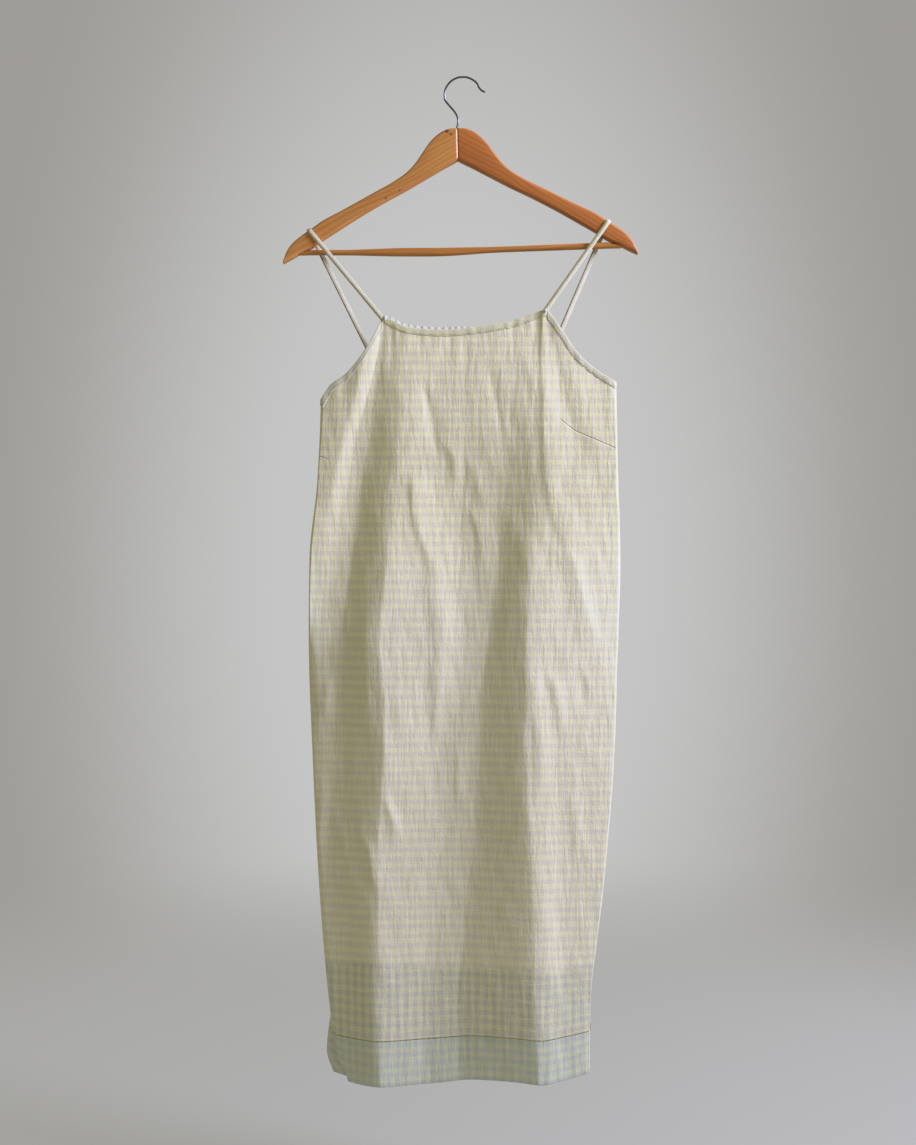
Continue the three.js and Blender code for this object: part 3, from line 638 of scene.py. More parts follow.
# How far the creases lift the cloth at (x, z): for each, its rise times the fades along it times
# exp(-(distance / spread)²), the distance measured square to the path.
def creaseLift(panel, x, z):
    lift = np.zeros_like(x)
    for rise, left, right, (grow, die), path in panel["creases"]:
        places = np.array(path) * mm
        down, along = -places[:, 1], places[:, 0]
        middle = curveThrough(down, along, -z)
        slant = (curveThrough(down, along, -z + mm) - curveThrough(down, along, -z - mm)) / (2 * mm)
        distance = (x - middle) / np.hypot(1, slant)
        share = np.clip((-z - down[0]) / (down[-1] - down[0]), 0, 1)
        left, right = (a + (b - a) * share for a, b in (left, right))
        spread = np.where(distance < 0, left, right) * mm
        fades = (smooth(share, 0, grow) if grow else 1.0) * smooth(1 - share, 0, die)
        lift += rise * mm * fades * np.exp(-((distance / spread) ** 2))
    return lift


# The height of the cut edge above or below the place x.
def edgeHeight(panel, x):
    left, middle, right = ((np.array(x) * mm, np.array(z) * mm) for x, z in panel["top"])
    z = curveThrough(*middle, x)
    z = np.where(x < left[0][-1], curveThrough(*left, x), z)
    return np.where(x > right[0][0], curveThrough(*right, x), z)


# The gathers: each its rise times exp(-(sideways / width)²) times exp(-(depth below edge / length)²).
# Under the binding, which holds the cloth, they are only a third as high.
def gatherLift(panel, x, z):
    depth = np.maximum(edgeHeight(panel, x) - z, 0)
    lift = np.zeros_like(x)
    for place, rise, width, length in panel["gathers"]:
        lift += rise * mm * np.exp(-(((x - place * mm) / (width * mm)) ** 2) - (depth / (length * mm)) ** 2)
    return lift * (0.33 + 0.67 * smooth(depth, 3 * mm, 11 * mm))


# Slight unevenness of worn cotton: a sum of small waves, each with its own direction and length,
# most of them running down the cloth.
def unevenLift(x, z, side):
    picks = np.random.default_rng(11 if side < 0 else 12)
    lift = np.zeros_like(x)
    for _ in range(30):
        length = picks.uniform(14, 46) * mm
        angle = picks.normal(0, 0.22)
        phase, bend = picks.uniform(0, 2 * math.pi, 2)
        run = (x * math.cos(angle) + z * math.sin(angle)) / length
        run += 0.35 * np.sin(2 * math.pi * z / (picks.uniform(120, 260) * mm) + bend)
        lift += length * 0.001 * np.sin(2 * math.pi * run + phase)
    return lift


# Points and outward normals at (t, z): the plain place moved out along its own normal by the
# creases. Near the side seams the creases die away, so that front and back stay joined.
def clothAt(panel, t, z):
    last = len(panel["lines"]) - 1
    fineStep, step = 0.004, 0.01  # shares of the way between two lines, for slopes
    t, z = np.broadcast_arrays(np.clip(t, 0, last), z)

    def place(t, z):
        low, high = np.clip(t - fineStep, 0, last), np.clip(t + fineStep, 0, last)
        sideways = plainPlace(panel, high, z) - plainPlace(panel, low, z)
        upwards = plainPlace(panel, t, z + mm) - plainPlace(panel, t, z - mm)
        normal = unit(np.cross(sideways, upwards) * -panel["side"])
        spot = plainPlace(panel, t, z)
        x = spot[..., 0]
        lift = creaseLift(panel, x, z) + gatherLift(panel, x, z) + unevenLift(x, z, panel["side"])
        lift *= smooth(np.minimum(t, last - t), 0, 0.8)
        return spot + normal * lift[..., None]

    low, high = np.clip(t - step, 0, last), np.clip(t + step, 0, last)
    sideways = place(high, z) - place(low, z)
    sideways[..., 0] *= np.where((t <= 0) | (t >= last), 0, 1)
    upwards = place(t, z + mm) - place(t, z - mm)
    return place(t, z), unit(np.cross(sideways, upwards) * -panel["side"])


# The height of the cut edge where column t meets it, found by a few passes.
def topHeights(panel, t):
    z = np.full((len(t), 1), -405 * mm)
    for _ in range(40):
        z = edgeHeight(panel, plainPlace(panel, t[:, None], z)[..., 0])
    return z[:, 0]


# x of the cut edge where column t meets it.
def edgeAcross(panel, t):
    return plainPlace(panel, t[:, None], topHeights(panel, t)[:, None])[:, 0, 0]


# x of the two strap corners, where the neck's edge begins and ends.
def cornersAcross(panel):
    neck = panel["top"][1][0]
    return neck[0] * mm, neck[-1] * mm


# Columns from seam to seam, with one moved onto each strap corner.
def columnPlaces(panel):
    t = np.concatenate([np.linspace(i, i + 1, n, endpoint=False) for i, n in enumerate(panel["columns"])])
    t = np.append(t, len(panel["columns"]))
    x = edgeAcross(panel, t)
    for corner in cornersAcross(panel):
        t[np.argmin(np.abs(x - corner))] = np.interp(corner, x, t)
    return t


# Place round the dress on the flat cloth: the distance run along a level section from the
# middle, measured on a grid of steps by levels and read between its points.
def placeRound(panel, t, z):
    steps, levels = 280, np.linspace(-0.29, -1.256, 60)
    last = len(panel["columns"])
    grid = np.broadcast_arrays(np.linspace(0, last, steps + 1)[:, None], levels[None, :])
    sections = plainPlace(panel, *grid)
    run = np.zeros((steps + 1, len(levels)))
    run[1:] = np.cumsum(np.linalg.norm(np.diff(sections, axis=0), axis=-1), 0)
    run -= [np.interp(0, x, along) for x, along in zip(sections[..., 0].T, run.T)]
    column = np.clip(t / last * steps, 0, steps - 0.001)
    level = np.clip((z - levels[0]) / (levels[1] - levels[0]), 0, len(levels) - 1.001)
    i, j = column.astype(int), level.astype(int)
    a, b = column - i, level - j
    lower = run[i, j] * (1 - a) + run[i + 1, j] * a
    upper = run[i, j + 1] * (1 - a) + run[i + 1, j + 1] * a
    return lower * (1 - b) + upper * b


# How far the hem stands above its lowest level at x, for a row of that height: the whole lift at
# the bottom edge, none above the turn-up.
def hemLift(panel, x, z):
    places, lifts = (np.array(values) * mm for values in panel["hemLift"])
    low = dress["hemRows"][-1][1] * mm
    return curveThrough(places, lifts, x) * smooth(-z, -dress["hemLiftFrom"] * mm, -low)


# A panel: rows from the cut edge to the hem, round its fold and up inside to the turn-up's edge.
def panelObject(name, panel, material, node):
    t = columnPlaces(panel)
    top = topHeights(panel, t)
    hem = np.concatenate([np.linspace(a, b, n, endpoint=False) for a, b, n in dress["hemRows"]])
    hem = np.append(hem, dress["hemRows"][-1][1]) * mm
    share = np.linspace(0, 1, dress["rowsAbove"], endpoint=False)
    above = top[:, None] + (hem[0] - top[:, None]) * share
    z = np.concatenate([above, np.tile(hem, (len(t), 1))], 1)
    around = placeRound(panel, t[:, None], z)
    places = np.stack([around, z], -1)
    lifted = z + hemLift(panel, plainPlace(panel, t[:, None], z)[..., 0], z)
    points, normals = clothAt(panel, t[:, None], lifted)

    radius = dress["foldRadius"] * mm
    inner = np.arange(z.shape[1] - 1, z.shape[1] - len(hem) + 1, -2)
    bend = np.radians([45, 90, 135])
    inward = -(radius * (1 - np.cos(bend)))[:, None] * normals[:, -1:]
    downward = -(radius * np.sin(bend))[:, None] * np.array([0, 0, 1.0])
    turn = points[:, -1:] + inward + downward
    inside = points[:, inner] - 2 * radius * normals[:, inner]
    turnPlaces = np.stack([np.repeat(around[:, -1:], 3, 1), z[:, -1:] - radius * bend], -1)
    hemPlace = 2 * z[:, -1:] - math.pi * radius
    insidePlaces = np.stack([around[:, inner], hemPlace - z[:, inner]], -1)
    points = np.concatenate([points, turn, inside], 1)
    places = np.concatenate([places, turnPlaces, insidePlaces], 1)
    thing = meshObject(name, points, gridFaces(*points.shape[:2], turned=panel["side"] > 0), places)
    solid = thing.modifiers.new("cloth", "SOLIDIFY")
    solid.thickness = dress["wall"] * mm
    solid.offset = -1
    return finishPiece(thing, material, "cloth", node)


cottonMaterial = clothMaterial()
frontCloth = panelObject("frontCloth", frontPanel, cottonMaterial, "front_panel")
backCloth = panelObject("backCloth", backPanel, cottonMaterial, "back_panel")
print("panels made")


# Bindings

binding = {
    "width": 8, "standsOut": 0.5, "gap": 0.12,  # gap: between the strip and the cloth
    "neckYarns": [srgb(214, 205, 160), srgb(208, 200, 172), srgb(214, 206, 166), srgb(202, 196, 166)],
    "armholeYarns": [srgb(211, 202, 158), srgb(200, 193, 180), srgb(211, 203, 168), srgb(196, 189, 174)],
    "puff": 0.05, "puffLength": 7.5,
    "stitch": {"pitch": 3.4, "length": 2.0, "radius": 0.22, "fromEdge": 5.6},
    "facing": {
        "from": -97, "to": 24, "above": 3.6, "behind": 2.6, "thick": 0.7, "blocks": 8.2,
        "yarns": [srgb(192, 191, 174), srgb(182, 183, 172), srgb(192, 191, 176), srgb(182, 183, 170)],
    },
    "tacks": {  # width, depth and height; then how far it stands to the right of the corner and below
        "left": ((4.2, 2.6, 7.2), (2.0, 1.5)),
        "right": ((3.2, 2.2, 4.6), (-1.5, 2.0)),
    },
}


# The closed section of a folded strip, as (distance down from the cut edge, height outward):
# up the outside, round the fold above the edge and down the inside.
def bindingSection():
    out, gap, width = binding["standsOut"], binding["gap"], binding["width"]
    inner = -dress["wall"] - binding["standsOut"] + 0.3
    down = [width, width - 0.9, width - 1.9, width - 2.6, width - 3.4, 3.4, 1.2]
    puffed = [gap * 0.2, out * 0.5, out * 0.8, out * 0.7, out * 0.9, out, out]
    turns = np.radians([0, 35, 70, 110, 145, 180])
    middle, half = (out * 0.9 + inner) / 2, (out * 0.9 - inner) / 2
    down += [-0.3 - 0.6 * math.sin(a) for a in turns]
    puffed += [middle + half * math.cos(a) for a in turns]
    down += [1.5, 4, width - 1, width - 0.1, width - 0.1, 2]
    puffed += [inner, inner * 1.05, inner, -dress["wall"] - gap, -gap, -gap * 0.5]
    return np.array(down) * mm, np.array(puffed) * mm


# Where along t the panel's two strap corners stand.
def cornerPlaces(panel):
    t = columnPlaces(panel)
    x = edgeAcross(panel, t)
    return [np.interp(corner, x, t) for corner in cornersAcross(panel)]


# The cloth's points and normals at a depth below its cut edge.
def belowEdge(panel, t, depth=0.0):
    points, normals = clothAt(panel, t[:, None], topHeights(panel, t)[:, None] - depth)
    return points[:, 0], normals[:, 0]


# The strip's rings along part of one panel's cut edge. On a slanting edge it reaches further
# down, so that it keeps its width.
def bindingRings(panel, t, section):
    down, out = section
    edge = belowEdge(panel, t)[0]
    run = np.gradient(edge, axis=0)
    level = np.hypot(run[:, 0], run[:, 1])
    stretch = np.clip(np.hypot(1, run[:, 2] / np.maximum(level, 1e-6)), 1, 1.9)[:, None]
    heights = topHeights(panel, t)[:, None] - np.maximum(down, 0) * stretch
    points, normals = clothAt(panel, t[:, None], heights)
    rise = unit(edge - belowEdge(panel, t, binding["width"] * mm)[0])
    return points + rise[:, None] * (np.maximum(-down, 0) * stretch)[..., None] + normals * out[:, None]


# Values of t from start to end that stand evenly along the cut edge.
def evenPlaces(panel, start, end, spacing=2.2 * mm):
    fine = np.linspace(start, end, 200)
    run = runAlong(belowEdge(panel, fine)[0])
    return np.interp(np.linspace(0, run[-1], int(run[-1] / spacing) + 1), run, fine)


# A place on the flat cloth for each point of a grid.
def flatPlaces(along, around):
    return np.stack(np.meshgrid(along, around, indexing="ij"), -1)


# A strip: its rings, with the outside of the section puffed up and down by a wavering sine.
def stripObject(name, rings, material, node):
    outside, onTop, beneath = slice(3, 8), 4, 15
    along = runAlong(rings[:, 0])
    turns = 2 * math.pi * along / (binding["puffLength"] * mm) + 1.3 * np.sin(along / (19 * mm))
    puff = binding["puff"] * mm * np.sin(turns)
    rings = rings.copy()
    rings[:, outside] += unit(rings[:, onTop] - rings[:, beneath])[:, None] * puff[:, None, None]
    thing = tubeObject(name, rings, flatPlaces(along, runAlong(rings.mean(0))))
    return finishPiece(thing, material, "binding", node)


neckMaterial = trimMaterial("biasCotton", binding["neckYarns"], 45)
armholeMaterial = trimMaterial("paleBiasCotton", binding["armholeYarns"], 38)
section = bindingSection()
frontCorners, backCorners = cornerPlaces(frontPanel), cornerPlaces(backPanel)
frontLast, backLast = len(frontPanel["columns"]), len(backPanel["columns"])
for panel, corners, word in ((frontPanel, frontCorners, "Front"), (backPanel, backCorners, "Back")):
    rings = bindingRings(panel, evenPlaces(panel, *corners), section)
    stripObject("neckBinding" + word, rings, neckMaterial, "neck_binding_" + word.lower())
for side, word, frontSeam, backSeam in ((0, "Left", 0, 0), (1, "Right", frontLast, backLast)):
    rings = np.concatenate([
        bindingRings(frontPanel, evenPlaces(frontPanel, frontCorners[side], frontSeam), section),
        bindingRings(backPanel, evenPlaces(backPanel, backSeam, backCorners[side]), section)[1:],
    ])
    node = "armhole_binding_" + word.lower()
    stripObject("armholeBinding" + word, rings, armholeMaterial, node)


# Short threads, one from each start to its end: rings round the line between them, thinner at
# both ends, which are sunk. out is the way off the cloth.
def threadRow(name, starts, ends, out, radius, material, slot="binding"):
    shares = np.array([0, 0.12, 0.5, 0.88, 1])
    sizes = np.array([0.5, 0.9, 1, 0.9, 0.5])
    lifts = np.array([-1, 0.3, 0.7, 0.3, -1])
    stations, sides = len(shares), 5
    turns = fullTurn(sides)[None, :, None]
    sideways = unit(np.cross(out, unit(ends - starts)))
    middle = starts[:, None] + (ends - starts)[:, None] * shares[None, :, None]
    middle = middle + out[:, None] * (lifts * radius)[None, :, None]
    around = (np.cos(turns) * sideways[:, None] + np.sin(turns) * out[:, None]) * radius
    points = middle[:, :, None] + around[:, None] * sizes[None, :, None, None]
    first = stations * sides * np.arange(len(starts))[:, None, None]
    quads = gridFaces(stations, sides, closed=True) + first
    ring = np.arange(sides)
    caps = np.stack([ring[::-1], ring + (stations - 1) * sides]) + first
    faces = [*quads.reshape(-1, 4).tolist(), *caps.reshape(-1, sides).tolist()]
    return finishPiece(meshObject(name, points, faces), material, slot)


# Dashes along a line of points, one every pitch, each a little uneven in place and length.
def dashesOn(points, normals, look, seed):
    picks = np.random.default_rng(seed)
    run = runAlong(points)
    count = int(run[-1] / (look["pitch"] * mm)) - 1
    first = (np.arange(count) + 0.5 + picks.uniform(-0.08, 0.08, count)) * look["pitch"] * mm
    last = first + look["length"] * mm * picks.uniform(0.85, 1.1, count)

    def read(values, places):
        return np.stack([np.interp(places, run, part) for part in values.T], -1)

    return read(points, first), read(points, last), unit(read(normals, first))


# A row of stitches on a binding, laid on its outer face.
def stitchBinding(name, panel, start, end, material, seed):
    look = binding["stitch"]
    t = evenPlaces(panel, start, end)
    depth = np.array([look["fromEdge"]]) * mm
    line = bindingRings(panel, t, (depth, np.array([binding["standsOut"] * 1.02]) * mm))[:, 0]
    dashes = dashesOn(line, belowEdge(panel, t, depth)[1], look, seed)
    threadRow(name, *dashes, look["radius"] * mm, material)


# The pale inner strip above the neck's left half. Its section is a thin loop, and its top
# rises by a smoothed square wave into soft blocks.
def facingObject(material):
    look = binding["facing"]
    t = evenPlaces(frontPanel, *frontCorners, 0.8 * mm)
    x = belowEdge(frontPanel, t)[0][:, 0] / mm
    t, x = (values[(x > look["from"]) & (x < look["to"])] for values in (t, x))
    down = np.array([6, 2, -1, -1, 2, 6]) * mm
    inner = -(look["behind"] + np.array([0, 0, 0, 1, 1, 1]) * look["thick"]) * mm
    low = bindingRings(frontPanel, t, (down, inner))
    tall = bindingRings(frontPanel, t, (np.where(down < 0, down - look["above"] * mm, down), inner))
    blocks = smooth(np.sin(2 * math.pi * x / look["blocks"] + 0.8 * np.sin(x / 13)), -0.5, 0.3)
    ends = smooth(x, look["from"], look["from"] + 8) * smooth(-x, -look["to"], -look["to"] + 30)
    rings = low + (tall - low) * ((0.6 + 0.4 * blocks) * ends)[:, None, None]
    places = flatPlaces(runAlong(rings[:, 0]), np.arange(len(down)) * 3 * mm)
    return finishPiece(tubeObject("neckFacing", rings, places), material, "binding")


# A bar tack: a small lump of wound thread, an egg shape with a spiral ridge.
def tackObject(name, corner, size, shift, material):
    turns = fullTurn(20)[None]
    rise = np.linspace(-1.45, 1.45, 16)[:, None]
    wide, deep, high = np.array(size) / 2 * mm
    reach = np.cos(rise) * (1 + 0.09 * np.sin(14 * rise + turns))
    egg = np.stack([np.cos(turns) * reach * wide, np.sin(turns) * reach * deep,
                    np.sin(rise) * high + turns * 0], -1)
    right, below = shift
    t = corner + np.array([-0.01, 0, 0.01])
    centre = bindingRings(frontPanel, t, (np.array([below]) * mm, np.array([1.6]) * mm))[1, 0]
    thing = tubeObject(name, egg + centre + np.array([right * mm, 0, 0]))
    return finishPiece(thing, material, "binding")


facingLook = binding["facing"]
facingObject(trimMaterial("paleFacing", facingLook["yarns"], 0, facingLook["blocks"] * mm, 30 * mm))
greyThread = threadMaterial("greyThread", srgb(158, 153, 136))
whiteThread = threadMaterial("whiteThread", srgb(222, 224, 220))
brownThread = threadMaterial("brownThread", srgb(96, 82, 52))
creamThread = threadMaterial("creamThread", srgb(186, 178, 146))
for panel, (left, right), last, word, seed in ((frontPanel, frontCorners, frontLast, "", 21),
                                               (backPanel, backCorners, backLast, "Back", 23)):
    stitchBinding("armholeStitches" + word + "Left", panel, 0.0, left, greyThread, seed)
    stitchBinding("armholeStitches" + word + "Right", panel, right, last, greyThread, seed + 1)
stitchBinding("neckStitchesFront", frontPanel, *frontCorners, creamThread, 25)
stitchBinding("neckStitchesBack", backPanel, *backCorners, creamThread, 26)
for word, corner in zip(("left", "right"), frontCorners):
    tackObject(word + "Tack", corner, *binding["tacks"][word], whiteThread)
print("bindings made")


# The hem's stitch line

hemStitch = {"pitch": 3.0, "length": 2.5, "radius": 0.42}


# Stitches on the cloth at the height of the stitch line, moved with the hem's own lift.
def hemStitches(name, panel, seed):
    t = np.linspace(0.05, len(panel["columns"]) - 0.05, 400)[:, None]
    z = np.full_like(t, clothLook["stitchLine"])
    z = z + hemLift(panel, plainPlace(panel, t, z)[..., 0], z)
    points, normals = clothAt(panel, t, z)
    dashes = dashesOn(points[:, 0], normals[:, 0], hemStitch, seed)
    threadRow(name, *dashes, hemStitch["radius"] * mm, brownThread, "cloth")


hemStitches("hemStitchesFront", frontPanel, 31)
hemStitches("hemStitchesBack", backPanel, 32)
print("stitches made")


# The hanger

hanger = {
    "crown": (-6.3, -63.7), "tilt": -1.5, "rounding": 4,
    "arm": {  # distance from the middle, top and bottom edge measured from the crown
        "thickness": 12, "tipLength": 8.5,
        "along": [0, 9, 17, 27, 36, 45, 55, 66, 82, 100, 125, 150, 172, 186, 198, 210, 218, 222.5],
        "top": [0, -0.5, -3, -9.5, -18.5, -31, -44.5, -55, -65.5, -75, -88, -101, -112, -121.5,
                -129.5, -139, -149.5, -161],
        "bottom": [-41, -46, -50, -55.5, -60.5, -65.5, -71, -77, -85, -94.5, -108.5, -123.5, -137,
                   -146.5, -151.5, -158.5, -162.5, -164.5],
    },
    "bar": {
        "thickness": 8,
        "along": [-203, -184, -138, -80, -25, 50, 125, 184, 203],
        "top": [-153, -148.2, -149, -148.4, -149.4, -150, -149, -148.2, -153],
        "bottom": [-154, -154.6, -156, -158.8, -160, -157.2, -156.5, -156, -155.6],
    },
}
woods = {  # turn: how the grain lies, in degrees
    "lightPine": {"light": srgb(216, 150, 78), "dark": srgb(164, 98, 42), "turn": 27.5, "knots": [
        (-18.9, -68.5, 3.2), (-13.8, -72.3, 2.4), (-57.8, -106.2, 2.2), (-77.9, -142.7, 1.8),
        (-95.5, -152.7, 2.2),
    ]},
    "redWood": {"light": srgb(195, 117, 50), "dark": srgb(145, 76, 28), "turn": -29.5, "knots": []},
    "barLath": {"light": srgb(202, 134, 58), "dark": srgb(148, 86, 32), "turn": 1.5, "knots": []},
}


# Places a point of the level hanger, measured from its crown, in the tilted one.
def hangerPoint(along, y, height):
    tilt = math.radians(hanger["tilt"])
    x = hanger["crown"][0] * mm + along * math.cos(tilt) + height * math.sin(tilt)
    z = hanger["crown"][1] * mm - along * math.sin(tilt) + height * math.cos(tilt)
    return np.stack([x, y, z], -1)


# Rings of a rounded rectangle across the hanger, one for each distance along it.
def woodRings(along, top, bottom, thickness, rounding, sides=6):
    corner, step = np.divmod(np.arange(4 * sides), sides)
    turns = (corner + step / (sides - 1)) * math.pi / 2
    signY = np.where((corner == 0) | (corner == 3), 1, -1)
    signZ = np.where(corner < 2, 1, -1)
    radius = np.minimum(rounding, np.minimum((top - bottom) * 0.48, thickness * 0.45))[:, None]
    y = signY * (thickness / 2 - radius) + radius * np.cos(turns)
    z = (top + bottom)[:, None] / 2 + signZ * ((top - bottom)[:, None] / 2 - radius) + radius * np.sin(turns)
    return hangerPoint(np.broadcast_to(along[:, None], y.shape), y, z)


# Knots are spots with an uneven rim on the wood's front face.
def woodMaterial(name):
    look = woods[name]
    finish = {"Roughness": 0.42, "Coat Weight": 0.25, "Coat Roughness": 0.3, "Specular IOR Level": 0.45}
    material, n, shader = newMaterial(name, finish)
    place = n.coordinates("Object")
    grain = n.node("Group", node_tree=woodGroup)
    n.set(grain.inputs["Place"], n.stretched(place, 1, 1, turn=math.radians(look["turn"])))
    n.set(grain.inputs["Light"], look["light"])
    n.set(grain.inputs["Dark"], look["dark"])
    colour = grain.outputs["Color"]
    face = -hanger["arm"]["thickness"] / 2
    for x, z, size in look["knots"]:
        ends = {0: place, 1: (x * mm, face * mm, z * mm)}
        away = n.node("VectorMath", ends, operation="DISTANCE").outputs["Value"]
        uneven = n.sum("MULTIPLY_ADD", n.noise(place, 500.0), 1.6 * mm, away)
        near = n.range(uneven, size * 1.4 * mm, size * 0.5 * mm, 0.0, 0.85)
        colour = n.mix(near, colour, srgb(84, 42, 20))
    n.set(shader["Base Color"], colour)
    addBump(n, shader, grain.outputs["Height"], 0.12 * mm)
    return material


# An arm or the bar: rounded rectangles between the curves of its top and bottom edge.
def woodObject(name, part, along, side, wood, slot, node):
    sizes = hanger[part]
    top, bottom = (curveThrough(sizes["along"], sizes[edge], along) * mm for edge in ("top", "bottom"))
    rings = woodRings(side * along * mm, top, bottom, sizes["thickness"] * mm, hanger["rounding"] * mm)
    return finishPiece(tubeObject(name, rings), woodMaterial(wood), slot, node)


tip, tipLength = hanger["arm"]["along"][-1], hanger["arm"]["tipLength"]
roundTip = tip - tipLength * np.cos(np.linspace(0, math.pi / 2, 9))[1:]
armAlong = np.concatenate([np.linspace(0.02, tip - tipLength, 96), roundTip])
barAlong = np.linspace(hanger["bar"]["along"][0], hanger["bar"]["along"][-1], 110)
woodObject("hangerArmLeft", "arm", armAlong, -1, "lightPine", "light_wood", "hanger_arm_left")
woodObject("hangerArmRight", "arm", armAlong, 1, "redWood", "red_wood", "hanger_arm_right")
woodObject("hangerBar", "bar", barAlong, 1, "barLath", "bar_wood", "hanger_bar")
print("hanger made")


# The hook

hook = {
    "wire": 1.2, "bend": 23.3, "centre": (1.2, -22.1),  # radii of the wire and of its bend
    "shank": [(-6.6, -63.4), (-5.4, -59), (-4.7, -54), (-6.2, -48), (-10.2, -41.5), (-15.8, -35)],
    "flick": [(21.8, -12.6), (25, -16), (29.5, -18)],
    "darkTone": srgb(70, 70, 74), "lightTone": srgb(120, 120, 124),
}


# Round rings across a line that lies in the plane of the hanger.
def wireRings(line, radius, sides=14):
    along = unit(np.gradient(line, axis=0))
    outward = np.stack([along[:, 2], np.zeros(len(line)), -along[:, 0]], -1)
    turns = fullTurn(sides)[None, :, None]
    around = np.cos(turns) * outward[:, None] + np.sin(turns) * np.array([0, 1.0, 0])
    return line[:, None] + radius[:, None, None] * around


# The wire follows a cubic up the shank, round a circular bend and along the flick. At its end
# the radius shrinks as a ball's does.
def hookObject():
    turns = np.radians(np.arange(190, 39, -15))
    bend = hook["centre"] + hook["bend"] * np.stack([np.cos(turns), np.sin(turns)], -1)
    places = np.concatenate([hook["shank"], bend, hook["flick"]]) * mm
    run = runAlong(places)
    at = np.linspace(0, run[-1], 150)
    line = np.stack([curveThrough(run, places[:, 0], at), at * 0, curveThrough(run, places[:, 1], at)], -1)
    fromEnd = (run[-1] - at) / (hook["wire"] * mm)
    radius = hook["wire"] * mm * np.sqrt(np.clip(1 - (1 - np.clip(fromEnd, 0, 1)) ** 2, 0.02, 1))
    return tubeObject("hangerHook", wireRings(line, radius))


def steelMaterial():
    material, n, shader = newMaterial("darkSteel", {"Metallic": 1.0, "Roughness": 0.32})
    tone = n.noise(n.coordinates("Object"), 300.0, 3.0)
    n.set(shader["Base Color"], n.mix(tone, hook["darkTone"], hook["lightTone"]))
    return material


finishPiece(hookObject(), steelMaterial(), "hook_wire", "hanger_hook")


# The straps

strap = {
    "width": 6.0, "thickness": 2.0,
    "tuck": 9, "under": 2.8,  # how far the sewn ends go on past the corner, and lie under the cloth
    "left": {"crossing": -189, "front": (-100.5, -303), "back": (-101.5, -374)},
    "right": {"crossing": 187, "front": (107, -290), "back": (106.5, -360)},
    "yarns": [srgb(210, 199, 144), srgb(198, 191, 176), srgb(230, 224, 208), srgb(186, 174, 130)],
    "down": 16.8 * mm,  # the check's repeat round it, which makes the stripes
    "armGap": 0.25,
    "dent": (1.9, 0.5, 0.35),  # along its stitched fold: place, half width, share of the thickness
    "seams": [(5.6, 0.5, 0.25), (11.3, 1.0, 0.6)],  # its dark folds: place round it, darkness, half width
    "seamTone": srgb(98, 84, 60),
}


# A point on the hanger's top edge.
def onArm(along):
    top = curveThrough(hanger["arm"]["along"], hanger["arm"]["top"], abs(along))
    return hangerPoint(along * mm, 0.0, float(top) * mm)


# The middle line of a strap: from inside the front corner up to the arm, over its rounded top
# and down behind to the back corner, with the directions of its width and its thickness.
def strapLine(sizes, frontDepth, backDepth):
    cross = sizes["crossing"]
    alongArm = unit(onArm(cross + 4) - onArm(cross - 4))
    upArm = np.array([-alongArm[2], 0, alongArm[0]])
    radius = (hanger["rounding"] + strap["armGap"]) * mm + strap["thickness"] * mm / 2
    shoulder = (hanger["arm"]["thickness"] / 2 - hanger["rounding"]) * mm
    middles, thicks = [], []
    for turn, angles in ((-1, np.linspace(90, 0, 8)), (1, np.linspace(0, 90, 8))):
        for angle in np.radians(angles):
            spot = onArm(cross) + upArm * (radius * math.cos(angle) - hanger["rounding"] * mm)
            spot[1] = turn * (shoulder + radius * math.sin(angle))
            middles.append(spot)
            thicks.append(upArm * math.cos(angle) + np.array([0, turn * math.sin(angle), 0]))

    def strand(start, corner, depth, turn, steps=34):
        entry = np.array([corner[0] * mm, depth, corner[1] * mm])
        down = unit(entry - start)
        end = entry + down * strap["tuck"] * mm
        wide = unit(np.array([-down[2], 0, down[0]]))
        line = [start + (end - start) * s for s in np.linspace(0.06, 1, steps)]
        return line, [wide] * steps, [np.array([0, turn, 0.0])] * steps

    front = strand(middles[0], sizes["front"], frontDepth, -1)
    back = strand(middles[-1], sizes["back"], backDepth, 1)
    over = (middles, [alongArm] * len(middles), thicks)
    return tuple(np.array(a[::-1] + b + c) for a, b, c in zip(front, over, back))


# The strap's section is an ellipse with its cosine and sine raised to the power 0.6, which
# squares it, and dented along the stitched fold by a bell curve.
def strapObject(name, sizes, frontDepth, backDepth, material, node):
    middle, wide, thick = strapLine(sizes, frontDepth, backDepth)
    sides, aroundStep = 24, 0.7
    turns = fullTurn(sides)
    breadth, depth = (np.sign(v) * np.abs(v) ** 0.6 * strap[size] / 2
                      for v, size in ((np.cos(turns), "width"), (np.sin(turns), "thickness")))
    place, half, dented = strap["dent"]
    depth = depth * (1 - dented * np.exp(-((breadth - place) / half) ** 2))
    rings = (middle[:, None] + wide[:, None] * breadth[None, :, None] * mm
             + thick[:, None] * depth[None, :, None] * mm)
    places = flatPlaces(runAlong(middle), np.arange(1, sides + 1) * aroundStep * mm)
    return finishPiece(tubeObject(name, rings, places), material, "strap", node)


# How far back a strap's sewn end lies, inside the binding at its corner.
def strapDepth(panel, corner):
    edge, normal = belowEdge(panel, np.array([corner]))
    return float((edge - normal * (strap["under"] + strap["thickness"] / 2) * mm)[0, 1])


